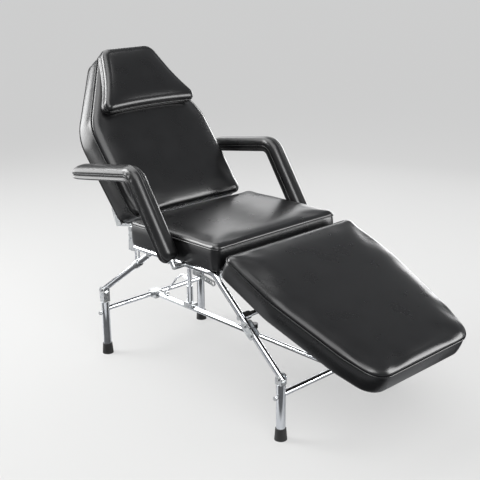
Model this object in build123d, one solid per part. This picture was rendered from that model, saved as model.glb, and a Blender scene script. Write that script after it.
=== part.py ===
from build123d import *
from math import atan2, cos, degrees, hypot, radians, sin, tan
import os

# Tattoo chair: three padded sections and two armrests on a chrome tube frame.
# X is the width, the footrest points towards -Y, Z is up and the feet stand on Z = 0.
# Lengths are in millimetres and angles in degrees. Y is counted from the middle of
# the seat while the pieces are made, and origin_shift then centres the whole chair.
origin_shift = 75.51

# Seat
seat_width = 560.0
seat_length = 420.0
seat_edge_height = 562.0
seat_foam = 74.0
seat_corner_radius = 22.0
board_thickness = 12.0
board_margin = 12.0

# Backrest, in its own plane: v runs up the back, n stands square to its face
back_angle = 52.3
back_pivot_behind_seat = 21.0
back_pivot_above_board = 44.0
back_side_inset = 30.0
back_length = 606.0
back_top_half_width = 80.0
back_shoulder_below_top = 271.0
back_border_flare = 5.0
back_shoulder_flare = 16.0
back_start = 34.5
back_face = 48.0
back_foam = 80.0
back_bottom_radius = 30.0
back_shoulder_radius = 180.0
back_top_radius = 56.0

# Footrest, in its own plane: v runs down the legs
foot_angle = 24.0
foot_pivot_before_seat = 4.0
foot_pivot_drop = 96.0
foot_side_excess = 10.0
foot_wide_excess = 17.0
foot_wide_at = 220.0
foot_narrow_inset = 18.0
foot_narrow_at = 480.0
foot_toe_inset = 54.0
foot_length = 604.0
foot_start = 8.0
foot_foam = 70.0
foot_corner_radius = 22.0
foot_side_radius = 260.0
foot_calf_radius = 200.0
foot_toe_radius = 72.0

# Edge rolls and crown of the cushions
edge_round = 14.0
crown_height = 8.0
crown_run = 70.0
least_radius = 6.0
edge_height_shares = (0.0, 0.1, 0.42, 0.8, 0.94, 1.0)
edge_inset_shares = (0.62, 0.2, 0.0, 0.12, 0.5, 1.0)
crown_height_shares = (0.62, 1.0)
crown_run_shares = (0.35, 1.0)

# Headrest pillow and its strap
pillow_bottom_half_width = 206.0
pillow_top_half_width = 108.0
pillow_length = 236.0
pillow_below_top = 250.0
pillow_thickness = 50.0
pillow_bottom_radius = 22.0
pillow_top_radius = 46.0
pillow_edge_round = 8.0
pillow_run_share = 0.6
strap_thickness = 2.0
strap_width = 38.0
strap_bend_radius = 16.0
strap_front_reach = 190.0
strap_rear_reach = 170.0

# Armrests, one path point after another in the side view (y, z)
arm_side_gap = 4.0
arm_width = 60.0
arm_depth = 46.0
arm_section_radius = 15.0
arm_bend_radius = 46.0
arm_foot_y = -42.0
arm_foot_above_board = 8.0
arm_angle = 57.0
arm_rise = 253.0
arm_rest_length = 312.0
arm_rest_fall = 8.0
arm_core_radius = 11.0
arm_core_bore_depth = 140.0
arm_plate_width = 40.0
arm_plate_thickness = 6.0
arm_plate_margin = 24.0
arm_post_radius = 8.0
arm_post_reach = 120.0
arm_collar_radius = 14.0
arm_collar_height = 4.0

# Side frame
rail_inset = 14.0
rail_rear_margin = 15.0
rail_bend_margin = 27.0
rail_bend_radius = 48.0
tube_radius = 10.0
tube_wall = 1.5
front_leg_before_seat = 259.0
rear_leg_behind_seat = 225.0
rear_leg_inset = 35.0
front_head_z = 205.0
rear_head_z = 247.0
brace_joint_share = 0.55
brace_gap = 4.0
joint_plate_length = 64.0
joint_plate_width = 28.0
plate_thickness = 3.0
rear_bracket_margin = 50.0
rear_bracket_drop = 30.0
rear_bracket_length = 44.0
cross_bar_width = 25.0
cross_bar_height = 20.0
cross_bar_rear_margin = 110.0
cross_bar_front_margin = 90.0
spreader_before_seat = 95.0
spreader_radius = 8.0
collar_radius = 13.0
collar_length = 20.0

# Legs
sleeve_radius = 14.5
sleeve_wall = 2.3
front_sleeve_top = 185.0
rear_sleeve_top = 200.0
foot_height = 38.0
foot_top_radius = 17.0
foot_bottom_radius = 20.0
foot_floor = 10.0
plug_depth = 12.0
head_stem_radius = 9.0
head_base_height = 5.0
head_brace_room = 15.0
ear_gap = 20.6
ear_width = 24.0
ear_above = 12.0
lock_screw_below_top = 40.0
lock_screw_radius = 3.0
lock_screw_head_radius = 6.5
lock_screw_head = 8.0
lock_screw_reach = 5.0

# Low frame
rear_bar_z = 172.0
front_bar_z = 150.0
spine_joint_before_middle = 105.0
spine_inner_radius = 8.0
spine_insert = 80.0
clamp_width = 36.0
clamp_depth = 30.0
clamp_height = 28.0
knob_radius = 14.0
knob_height = 16.0
knob_stem_radius = 4.0
knob_stem = 10.0
post_radius = 8.0
post_sleeve_radius = 11.0
post_sleeve_top = 250.0
post_insert = 40.0
saddle_width = 28.0
saddle_length = 46.0
saddle_height = 9.0
rear_tube_behind_seat = 25.0
rear_tube_below_board = 24.0
rear_tube_radius = 9.0
stay_rod_radius = 3.5
stay_rod_spacing = 17.0
stay_clamp_radius = 14.0
stay_clamp_length = 26.0

# Hooked stay rod behind the centre post
hook_radius = 3.5
hook_pivot_before_leg = 68.0
hook_pivot_above = 11.0
hook_knee_before_pivot = 62.0
hook_knee_below_peg = 14.0
hook_rest_behind_post = 39.0
hook_tip_behind_post = 14.0
hook_bend_radius = 14.0
hook_eye_radius = 7.0
hook_lug_thickness = 3.0
peg_radius = 4.0
peg_length = 24.0
peg_z = 276.0

# Hinge plates: the fixed leaf outside, the moving leaf inside
leaf_thickness = 4.0
leaf_gap = 1.0
leaf_boss_radius = 14.0
ratchet_radius = 20.0
ratchet_root_radius = 17.5
ratchet_teeth = 18
foot_boss_radius = 13.0
pivot_radius = 5.0
pivot_head_radius = 8.5
pivot_head = 5.0
flange_width = 29.0
pawl_width = 9.0
pawl_below_pivot = 50.0
pawl_clearance = 0.4
pawl_hole_radius = 2.5

# Adjusting bar with its ring under the seat
bar_side_inset = 95.0
bar_before_middle = 1.0
bar_below_board = 72.0
bar_length = 84.0
bar_fall = 10.5
bar_width = 18.0
bar_thickness = 3.0
bar_holes = 7
bar_hole_radius = 3.5
bar_ring_radius = 10.0

# Fasteners
bolt_radius = 4.0
bolt_head_radius = 7.5
bolt_head = 5.0
nut_height = 6.0
screw_radius = 2.5
screw_head_radius = 5.0
screw_head = 3.0
screw_depth = 10.0

# Clearances
running_clearance = 0.05
soft_clearance = 0.3
slide_clearance = 0.1
overrun = 1.0

SIDES = (("left", 1), ("right", -1))

seat_rear = seat_length / 2
seat_front = -seat_length / 2
board_top = seat_edge_height - seat_foam
board_bottom = board_top - board_thickness
rail_x = seat_width / 2 - rail_inset
rail_z = board_bottom - tube_radius
rail_rear_end = seat_rear - rail_rear_margin
rail_bend_y = seat_front + rail_bend_margin
cross_bar_ys = (seat_rear - cross_bar_rear_margin, seat_front + cross_bar_front_margin)
front_leg_y = seat_front - front_leg_before_seat
rear_leg_y = seat_rear + rear_leg_behind_seat
rear_leg_x = rail_x - rear_leg_inset
rear_bracket_y = seat_rear - rear_bracket_margin
rear_tube_y = seat_rear + rear_tube_behind_seat
rear_tube_z = board_bottom - rear_tube_below_board
spreader_y = seat_front - spreader_before_seat
spine_joint_y = -spine_joint_before_middle
hook_pivot_y = rear_leg_y - hook_pivot_before_leg
hook_knee_y = hook_pivot_y - hook_knee_before_pivot
hook_knee_z = peg_z - hook_knee_below_peg
hook_rest_y = rear_tube_y + hook_rest_behind_post
hook_tip_y = rear_tube_y + hook_tip_behind_post
bar_x = bar_side_inset - seat_width / 2
bar_rear_y = -bar_before_middle
bar_rear_z = board_bottom - bar_below_board
arm_middle_x = seat_width / 2 + arm_side_gap + arm_width / 2
arm_foot_z = board_bottom + arm_foot_above_board
arm_knee_z = arm_foot_z + arm_rise
back_shoulder_at = back_length - back_shoulder_below_top
pillow_start = back_length - pillow_below_top
back_half_width = seat_width / 2 - back_side_inset
back_rear_half_width = back_half_width + back_border_flare
back_rear_shoulder_half_width = back_half_width + back_shoulder_flare
foot_half_width = seat_width / 2 + foot_side_excess
foot_wide_half_width = seat_width / 2 + foot_wide_excess
foot_narrow_half_width = seat_width / 2 - foot_narrow_inset
foot_toe_half_width = seat_width / 2 - foot_toe_inset
inner_leg_radius = sleeve_radius - sleeve_wall - slide_clearance
back_pivot_y = seat_rear + back_pivot_behind_seat
back_pivot_height = board_bottom + back_pivot_above_board
foot_pivot_y = seat_front - foot_pivot_before_seat
foot_pivot_z = seat_edge_height - foot_pivot_drop
fixed_leaf_inner_x = rail_x - tube_radius - leaf_thickness
moving_leaf_inner_x = fixed_leaf_inner_x - leaf_gap - leaf_thickness


def back_plane():
    """Plane of the backrest through its pivot: x is the width, y runs up the back."""
    a = radians(back_angle)
    return Plane(origin=(0, back_pivot_y, back_pivot_height), x_dir=(1, 0, 0), z_dir=(0, -sin(a), cos(a)))


def foot_plane():
    """Plane of the footrest through its pivot: y runs down the legs."""
    a = radians(foot_angle)
    return Plane(origin=(0, foot_pivot_y, foot_pivot_z), x_dir=(-1, 0, 0), z_dir=(0, -sin(a), cos(a)))


def placed(shape, plane):
    return shape.moved(plane.location)


def tube(start, end, radius, bore=0.0):
    """Straight round tube from one centre point to the other."""
    start, end = Vector(*start), Vector(*end)
    length = (end - start).length
    base = Plane(origin=start, z_dir=end - start)
    body = extrude(base * Circle(radius), amount=length)
    if bore > 0:
        body -= extrude(base.offset(-overrun) * Circle(bore), amount=length + 2 * overrun)
    return body


def rod_x(x_from, x_to, y, z, radius):
    """Round bar along X."""
    return tube((x_from, y, z), (x_to, y, z), radius)


def box_between(low, high):
    size = [b - a for a, b in zip(low, high)]
    return Pos(*[(a + b) / 2 for a, b in zip(low, high)]) * Box(*size)


def plate_in_side_view(points, x_low, x_high):
    """Flat plate with its outline in (y, z), standing square to X."""
    outline = Polyline(*[(y, z) for y, z in points], close=True)
    face = Plane(origin=(x_low, 0, 0), x_dir=(0, 1, 0), z_dir=(1, 0, 0)) * make_face(outline)
    return extrude(face, amount=x_high - x_low)


def span_x(side, near, far):
    """Low and high X of a piece that lies between two distances from the middle."""
    low, high = sorted((side * near, side * far))
    return low, high


def moved_in(corners, inset):
    """Corners of a convex outline after each side has moved inwards by inset."""
    result = []
    count = len(corners)
    for i in range(count):
        before, here, after = corners[i - 1], corners[i], corners[(i + 1) % count]
        ax, ay = here[0] - before[0], here[1] - before[1]
        bx, by = after[0] - here[0], after[1] - here[1]
        la, lb = hypot(ax, ay), hypot(bx, by)
        ax, ay, bx, by = ax / la, ay / la, bx / lb, by / lb
        cross, dot = ax * by - ay * bx, ax * bx + ay * by
        along = inset * (1 - dot) / cross
        result.append((here[0] - inset * ay - along * ax, here[1] + inset * ax - along * ay))
    return result


def rounded_outline(corners, radii, inset=0.0):
    """Face with straight sides and a round at each corner, moved inwards by inset."""
    points = moved_in(corners, inset)
    count = len(points)
    rounds = []
    for i in range(count):
        before, here, after = points[i - 1], points[i], points[(i + 1) % count]
        ax, ay = here[0] - before[0], here[1] - before[1]
        bx, by = after[0] - here[0], after[1] - here[1]
        la, lb = hypot(ax, ay), hypot(bx, by)
        ax, ay, bx, by = ax / la, ay / la, bx / lb, by / lb
        turn = atan2(ax * by - ay * bx, ax * bx + ay * by)
        radius = max(radii[i] - inset, least_radius)
        step = radius * tan(turn / 2)
        rise = radius * (1 / cos(turn / 2) - 1)
        nx, ny = bx - ax, by - ay
        ln = hypot(nx, ny)
        rounds.append(((here[0] - step * ax, here[1] - step * ay),
                       (here[0] + rise * nx / ln, here[1] + rise * ny / ln),
                       (here[0] + step * bx, here[1] + step * by)))
    edges = []
    for i in range(count):
        edges.append(ThreePointArc(*rounds[i]))
        edges.append(Line(rounds[i][2], rounds[(i + 1) % count][0]))
    return make_face(edges)


def cushion(corners, radii, bottom, thickness, roll, run, crown, rear=None):
    """Closed pad: its sides draw in to the piped edges and its face is crowned.

    Where the rear outline differs from the front one, the border slants between them.
    """
    sections = []
    rear = rear or corners
    for height_share, inset_share in zip(edge_height_shares, edge_inset_shares):
        level = [(rx + height_share * (fx - rx), ry + height_share * (fy - ry))
                 for (fx, fy), (rx, ry) in zip(corners, rear)]
        face = rounded_outline(level, radii, inset_share * roll)
        sections.append(Pos(0, 0, bottom + height_share * thickness) * face)
    for height_share, run_share in zip(crown_height_shares, crown_run_shares):
        face = rounded_outline(corners, radii, roll + run_share * run)
        sections.append(Pos(0, 0, bottom + thickness + height_share * crown) * face)
    return loft(sections, ruled=True)


def mirrored_outline(half):
    """Full counter-clockwise outline from the corners of its +X half, lowest first."""
    return list(half) + [(-x, y) for x, y in reversed(half)]


def seat_corners(margin=0.0):
    half_x = seat_width / 2 - margin
    half_y = seat_length / 2 - margin
    return mirrored_outline([(half_x, -half_y), (half_x, half_y)])


def back_corners():
    return mirrored_outline([(back_half_width, back_start), (back_half_width, back_start + back_shoulder_at),
                             (back_top_half_width, back_start + back_length)])


def back_rear_corners():
    """The backrest's border flares towards the rear, most of all at the shoulders."""
    return mirrored_outline([(back_rear_half_width, back_start),
                             (back_rear_shoulder_half_width, back_start + back_shoulder_at),
                             (back_top_half_width, back_start + back_length)])


def back_radii():
    half = [back_bottom_radius, back_shoulder_radius, back_top_radius]
    return half + half[::-1]


def foot_corners():
    return mirrored_outline([(foot_half_width, foot_start), (foot_wide_half_width, foot_start + foot_wide_at),
                             (foot_narrow_half_width, foot_start + foot_narrow_at),
                             (foot_toe_half_width, foot_start + foot_length)])


def foot_radii():
    half = [foot_corner_radius, foot_side_radius, foot_calf_radius, foot_toe_radius]
    return half + half[::-1]


def pillow_corners():
    low = back_start + pillow_start
    return mirrored_outline([(pillow_bottom_half_width, low), (pillow_top_half_width, low + pillow_length)])


def hex_bolt(x_low, x_high, y, z, side):
    """Bolt along X through x_low to x_high, its head on the outer side and a nut inside."""
    outer, inner = (x_high, x_low) if side > 0 else (x_low, x_high)
    shank = rod_x(inner - side * nut_height, outer, y, z, bolt_radius)
    outline = RegularPolygon(bolt_head_radius, 6)
    head_plane = Plane(origin=(outer, y, z), z_dir=(side, 0, 0))
    nut_plane = Plane(origin=(inner, y, z), z_dir=(-side, 0, 0))
    head = extrude(head_plane * outline, amount=bolt_head)
    nut = extrude(nut_plane * outline, amount=nut_height - overrun)
    return shank + head + nut


def make_seat():
    parts = {}
    radii = [seat_corner_radius] * 4
    parts["seat_cushion"] = cushion(seat_corners(), radii, board_top, seat_foam, edge_round, crown_run,
                                    crown_height)
    board = extrude(rounded_outline(seat_corners(board_margin), radii), amount=board_thickness)
    parts["seat_board"] = board.moved(Location((0, 0, board_bottom)))
    bars = []
    reach = rail_x
    for y in cross_bar_ys:
        bar = box_between((-reach, y - cross_bar_width / 2, board_bottom - cross_bar_height),
                          (reach, y + cross_bar_width / 2, board_bottom))
        for name, side in SIDES:
            x = side * rail_x
            bar -= tube((x, rail_rear_end, rail_z), (x, rail_bend_y, rail_z), tube_radius)
            low, high = span_x(side, rail_x, rail_x + tube_radius)
            bar -= box_between((low, y - cross_bar_width, 0), (high, y + cross_bar_width, board_bottom))
        bars.append(max(bar.solids(), key=lambda s: s.volume))
    parts["seat_cross_bars"] = Compound(children=bars)
    return parts


def brace_point(share):
    """Point (y, z) of the front brace, from the rail's bend to the front leg head."""
    return (rail_bend_y + share * (front_leg_y - rail_bend_y), rail_z + share * (front_head_z - rail_z))


def brace_direction():
    dy, dz = front_leg_y - rail_bend_y, front_head_z - rail_z
    length = hypot(dy, dz)
    return dy / length, dz / length, length


def bolt_holes(shape, centres, x_low, x_high, radius=bolt_radius):
    for y, z in centres:
        shape -= rod_x(x_low - overrun, x_high + overrun, y, z, radius)
    return shape


def joint_bolt_centres():
    uy, uz, length = brace_direction()
    jy, jz = brace_point(brace_joint_share)
    reach = joint_plate_length / 2 - joint_plate_width / 2
    return [(jy + s * reach * uy, jz + s * reach * uz) for s in (-1, 1)]


def spreader_centre():
    uy, uz, length = brace_direction()
    return spreader_y, rail_z + (spreader_y - rail_bend_y) * uz / uy


def make_side_rails():
    """Rail under the seat, bent down into the upper half of the front brace."""
    parts = {}
    uy, uz, length = brace_direction()
    jy, jz = brace_point(brace_joint_share)
    end = (jy - uy * brace_gap / 2, jz - uz * brace_gap / 2)
    for name, side in SIDES:
        x = side * rail_x
        path = FilletPolyline((x, rail_rear_end, rail_z), (x, rail_bend_y, rail_z), (x, *end),
                              radius=rail_bend_radius)
        start_plane = Plane(origin=(x, rail_rear_end, rail_z), z_dir=(0, -1, 0))
        rail = sweep(start_plane * Circle(tube_radius), path=path)
        rail -= sweep(start_plane * Circle(tube_radius - tube_wall), path=path)
        low, high = x - tube_radius, x + tube_radius
        rail = bolt_holes(rail, joint_bolt_centres(), low, high)
        rail = bolt_holes(rail, [spreader_centre()], low, high)
        parts[f"side_rail_{name}"] = rail
    return parts


def make_front_braces():
    parts = {}
    uy, uz, length = brace_direction()
    jy, jz = brace_point(brace_joint_share)
    start = (jy + uy * brace_gap / 2, jz + uz * brace_gap / 2)
    plates = []
    braces = []
    for name, side in SIDES:
        x = side * rail_x
        foot_end = (x, front_leg_y + uy * tube_radius, front_head_z + uz * tube_radius)
        brace = tube((x, *start), foot_end, tube_radius, tube_radius - tube_wall)
        brace = bolt_holes(brace, joint_bolt_centres() + [(front_leg_y, front_head_z)], x - tube_radius,
                           x + tube_radius)
        braces.append(brace)
        for face in (-1, 1):
            low, high = sorted((x + face * tube_radius, x + face * (tube_radius + plate_thickness)))
            plane = Plane(origin=(low, jy, jz), x_dir=(0, uy, uz), z_dir=(1, 0, 0))
            slot = SlotOverall(joint_plate_length, joint_plate_width)
            plate = extrude(plane * slot, amount=high - low)
            plates.append(bolt_holes(plate, joint_bolt_centres(), low, high))
    parts["front_braces"] = Compound(children=braces)
    parts["brace_joint_plates"] = Compound(children=plates)
    y, z = spreader_centre()
    spreader = rod_x(-rail_x, rail_x, y, z, spreader_radius)
    for bolt in make_spreader_bolts():
        spreader -= bolt
    collars = []
    for name, side in SIDES:
        x = side * rail_x
        keep_out = tube((x, *brace_point(0)), (x, *brace_point(1)), tube_radius)
        spreader -= keep_out
        near = rail_x - tube_radius - collar_length
        collar = tube((side * near, y, z), (x, y, z), collar_radius, spreader_radius) - keep_out
        collars.append(max(collar.solids(), key=lambda s: s.volume))
    parts["front_spreader"] = min(spreader.solids(), key=lambda s: abs(s.center().X))
    parts["spreader_collars"] = Compound(children=collars)
    return parts


def rear_brace_ends():
    return (rear_bracket_y, board_bottom - rear_bracket_drop), (rear_leg_y, rear_head_z)


def rear_brace_z(y):
    (y0, z0), (y1, z1) = rear_brace_ends()
    return z0 + (y - y0) * (z1 - z0) / (y1 - y0)


def make_rear_braces():
    parts = {}
    (y0, z0), (y1, z1) = rear_brace_ends()
    length = hypot(y1 - y0, z1 - z0)
    uy, uz = (y1 - y0) / length, (z1 - z0) / length
    brackets = []
    braces = []
    for name, side in SIDES:
        x = side * rear_leg_x
        brace = tube((x, y0 - uy * tube_radius, z0 - uz * tube_radius),
                     (x, y1 + uy * tube_radius, z1 + uz * tube_radius), tube_radius, tube_radius - tube_wall)
        brace = bolt_holes(brace, [(y0, z0), (y1, z1)], x - tube_radius, x + tube_radius)
        braces.append(brace)
        outer = ear_gap / 2 + plate_thickness
        bracket = box_between((x - outer, y0 - rear_bracket_length / 2, board_bottom - plate_thickness),
                              (x + outer, y0 + rear_bracket_length / 2, board_bottom))
        for face in (-1, 1):
            low, high = sorted((x + face * ear_gap / 2, x + face * outer))
            ear = box_between((low, y0 - ear_width / 2, z0), (high, y0 + ear_width / 2, board_bottom))
            ear += rod_x(low, high, y0, z0, ear_width / 2)
            bracket += ear
        brackets.append(bolt_holes(bracket, [(y0, z0)], x - outer, x + outer))
    parts["rear_braces"] = Compound(children=braces)
    parts["rear_brace_brackets"] = Compound(children=brackets)
    return parts


def leg_places():
    """Name, side, x, y, sleeve top and head height of each leg."""
    places = []
    for name, side in SIDES:
        places.append((f"front_{name}", side, side * rail_x, front_leg_y, front_sleeve_top, front_head_z))
        places.append((f"rear_{name}", side, side * rear_leg_x, rear_leg_y, rear_sleeve_top, rear_head_z))
    return places


def leg_head(x, y, sleeve_top, head_z):
    """U-shaped head with a plug in the sleeve, a stem, and two ears round the brace."""
    base = head_z - head_brace_room - head_base_height
    outer = ear_gap / 2 + plate_thickness
    head = tube((x, y, sleeve_top - plug_depth), (x, y, sleeve_top), sleeve_radius - sleeve_wall)
    if base > sleeve_top:
        head += tube((x, y, sleeve_top), (x, y, base), head_stem_radius)
    low, high = min(base, sleeve_top), base + head_base_height
    yoke = box_between((x - outer, y - ear_width / 2, low), (x + outer, y + ear_width / 2, high))
    head += yoke - tube((x, y, 0), (x, y, sleeve_top), sleeve_radius)
    for face in (-1, 1):
        low, high = sorted((x + face * ear_gap / 2, x + face * outer))
        head += box_between((low, y - ear_width / 2, base), (high, y + ear_width / 2, head_z))
        head += rod_x(low, high, y, head_z, ear_width / 2)
    return bolt_holes(head, [(y, head_z)], x - outer, x + outer)


def make_legs():
    parts = {}
    heads = []
    sleeves = []
    for name, side, x, y, sleeve_top, head_z in leg_places():
        screw_z = sleeve_top - lock_screw_below_top
        sleeve = tube((x, y, foot_height + soft_clearance), (x, y, sleeve_top), sleeve_radius,
                      sleeve_radius - sleeve_wall)
        hole_low, hole_high = sorted((x, x + side * (sleeve_radius + overrun)))
        sleeve -= rod_x(hole_low, hole_high, y, screw_z, lock_screw_radius + running_clearance)
        sleeves.append(sleeve)
        heads.append(leg_head(x, y, sleeve_top, head_z))
        top = sleeve_top - plug_depth - soft_clearance
        parts[f"leg_tube_{name}"] = tube((x, y, foot_floor), (x, y, top), inner_leg_radius,
                                         inner_leg_radius - tube_wall)
        shoe = Pos(x, y, foot_height / 2) * Cone(foot_bottom_radius, foot_top_radius, foot_height)
        shoe -= tube((x, y, foot_floor), (x, y, foot_height + overrun), inner_leg_radius)
        parts[f"rubber_foot_{name}"] = shoe
        tip = x + side * (inner_leg_radius + soft_clearance)
        neck = x + side * (sleeve_radius + lock_screw_reach)
        screw = rod_x(tip, neck, y, screw_z, lock_screw_radius)
        screw += rod_x(neck, neck + side * lock_screw_head, y, screw_z, lock_screw_head_radius)
        parts[f"lock_screw_{name}"] = screw
    parts["leg_sleeves"] = Compound(children=sleeves)
    parts["leg_heads"] = Compound(children=heads)
    return parts


def spine_z(y):
    return rear_bar_z + (y - rear_leg_y) * (front_bar_z - rear_bar_z) / (front_leg_y - rear_leg_y)


def make_low_frame():
    parts = {}
    ends = (("rear", rear_leg_x, rear_leg_y, rear_bar_z), ("front", rail_x, front_leg_y, front_bar_z))
    for name, x, y, z in ends:
        bar = rod_x(-x, x, y, z, tube_radius)
        for side in (-1, 1):
            bar -= tube((side * x, y, 0), (side * x, y, seat_edge_height), sleeve_radius)
        parts[f"{name}_crossbar"] = min(bar.solids(), key=lambda s: abs(s.center().X))
    clamps = []
    blocks = []
    rear_bar = rod_x(-clamp_width, clamp_width, rear_leg_y, rear_bar_z, tube_radius)
    front_bar = rod_x(-clamp_width, clamp_width, front_leg_y, front_bar_z, tube_radius)
    rear_reach = clamp_depth / 2 + tube_radius
    half_width, half_height = clamp_width / 2, clamp_height / 2
    for y, z, toward, bar in ((rear_leg_y, rear_bar_z, -1, rear_bar), (front_leg_y, front_bar_z, 1, front_bar)):
        low, high = sorted((y - toward * clamp_depth / 2, y + toward * rear_reach))
        block = box_between((-half_width, low, z - half_height), (half_width, high, z + half_height))
        clamps.append(block - bar)
        blocks.append(block)
    rear_end = (0, rear_leg_y - clamp_depth / 2, spine_z(rear_leg_y - clamp_depth / 2))
    front_end = (0, front_leg_y + clamp_depth / 2, spine_z(front_leg_y + clamp_depth / 2))
    joint = (0, spine_joint_y, spine_z(spine_joint_y))
    inside = (0, spine_joint_y + spine_insert, spine_z(spine_joint_y + spine_insert))
    parts["spine_clamps"] = Compound(children=clamps)
    spine = tube(rear_end, joint, tube_radius, spine_inner_radius) - blocks[0]
    knob_y = spine_joint_y + knob_radius
    knob_z = spine_z(knob_y)
    spine -= tube((0, knob_y, knob_z), (0, knob_y, knob_z + tube_radius + overrun),
                  knob_stem_radius + running_clearance)
    parts["spine_rear"] = spine
    parts["spine_front"] = tube(inside, front_end, spine_inner_radius) - blocks[1]
    stem_bottom = knob_z + spine_inner_radius + soft_clearance
    stem_top = knob_z + tube_radius + knob_stem
    knob = tube((0, knob_y, stem_bottom), (0, knob_y, stem_top), knob_stem_radius)
    knob += tube((0, knob_y, stem_top), (0, knob_y, stem_top + knob_height), knob_radius)
    parts["spine_knob"] = knob
    return parts


def make_post():
    parts = {}
    y = rear_tube_y
    z = spine_z(y)
    spine = tube((0, rear_leg_y, rear_bar_z), (0, front_leg_y, front_bar_z), tube_radius)
    base_top = z + tube_radius + saddle_height
    saddle = box_between((-saddle_width / 2, y - saddle_length / 2, z), (saddle_width / 2, y + saddle_length / 2,
                         base_top)) - spine
    parts["post_saddle"] = max(saddle.solids(), key=lambda s: s.volume)
    parts["post_sleeve"] = tube((0, y, base_top), (0, y, post_sleeve_top), post_sleeve_radius, post_radius)
    rear_tube = rod_x(-fixed_leaf_inner_x, fixed_leaf_inner_x, y, rear_tube_z, rear_tube_radius)
    post = tube((0, y, post_sleeve_top - post_insert), (0, y, rear_tube_z), post_radius) - rear_tube
    post = min(post.solids(), key=lambda s: s.center().Z)
    post += tube((0, y, peg_z), (0, y + post_radius + peg_length, peg_z), peg_radius)
    parts["centre_post"] = post
    parts["rear_cross_tube"] = rear_tube
    rods = []
    clamps = []
    for name, side in SIDES:
        x = side * rear_leg_x
        (y0, z0), (y1, z1) = rear_brace_ends()
        length = hypot(y1 - y0, z1 - z0)
        uy, uz = (y1 - y0) / length, (z1 - z0) / length
        cy, cz = y, rear_brace_z(y)
        half = stay_clamp_length / 2
        clamp_solid = tube((x, cy - uy * half, cz - uz * half), (x, cy + uy * half, cz + uz * half),
                           stay_clamp_radius)
        clamp = clamp_solid - tube((x, y0, z0), (x, y1, z1), tube_radius)
        clamps.append(clamp)
        for step in (-1, 1):
            ry = y + step * stay_rod_spacing / 2
            rod = tube((x, ry, rear_brace_z(ry)), (x, ry, rear_tube_z), stay_rod_radius)
            rod = rod - clamp_solid - rear_tube - tube((x, y0, z0), (x, y1, z1), tube_radius)
            rods.append(max(rod.solids(), key=lambda s: s.volume))
    parts["stay_rods"] = Compound(children=rods)
    parts["stay_rod_clamps"] = Compound(children=clamps)
    return parts


def hook_pivot():
    return hook_pivot_y, spine_z(hook_pivot_y) + tube_radius + hook_pivot_above


def make_hook():
    parts = {}
    py, pz = hook_pivot()
    tip_z = peg_z + peg_radius + hook_radius + soft_clearance
    path = FilletPolyline((0, py, pz), (0, hook_knee_y, hook_knee_z), (0, hook_rest_y, tip_z),
                          (0, hook_tip_y, tip_z), radius=hook_bend_radius)
    dy, dz = hook_knee_y - py, hook_knee_z - pz
    hook = sweep(Plane(origin=(0, py, pz), z_dir=(0, dy, dz)) * Circle(hook_radius), path=path)
    hook += rod_x(-hook_radius, hook_radius, py, pz, hook_eye_radius)
    hook -= rod_x(-hook_eye_radius, hook_eye_radius, py, pz, pawl_hole_radius + running_clearance)
    parts["stay_hook"] = hook
    spine = tube((0, rear_leg_y, rear_bar_z), (0, front_leg_y, front_bar_z), tube_radius)
    lug = rod_x(-hook_radius - soft_clearance - hook_lug_thickness, hook_radius + soft_clearance
                + hook_lug_thickness, py, pz, pawl_hole_radius)
    for side in (-1, 1):
        low, high = span_x(side, hook_radius + soft_clearance, hook_radius + soft_clearance + hook_lug_thickness)
        ear = box_between((low, py - hook_eye_radius, pz - hook_pivot_above - tube_radius), (high, py
                          + hook_eye_radius, pz)) + rod_x(low, high, py, pz, hook_eye_radius)
        lug += max((ear - spine).solids(), key=lambda s: s.volume)
    parts["hook_lug"] = lug
    return parts


def leaf_local(plane, points, boss_radius, x_low, x_high):
    """Hinge leaf with its outline in the plane's own (v, n), plus a boss at the pivot."""
    outline = Polyline(*points, close=True)
    face = make_face(outline) + Circle(boss_radius)
    # Local v is the plane's y and local n its normal.
    leaf_plane = Plane(origin=plane.origin, x_dir=plane.y_dir, z_dir=plane.y_dir.cross(plane.z_dir))
    sign = leaf_plane.z_dir.X
    start = x_low if sign > 0 else -x_high
    solid = extrude(leaf_plane.offset(start) * face, amount=x_high - x_low)
    return solid


def ratchet_disc(x_low, x_high):
    """Toothed disc round the backrest pivot."""
    points = []
    for i in range(ratchet_teeth):
        for turn, radius in ((i, ratchet_root_radius), (i + 0.2, ratchet_radius)):
            a = radians(360 * turn / ratchet_teeth)
            points.append((back_pivot_y + radius * cos(a), back_pivot_height + radius * sin(a)))
    return plate_in_side_view(points, x_low, x_high)


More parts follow.
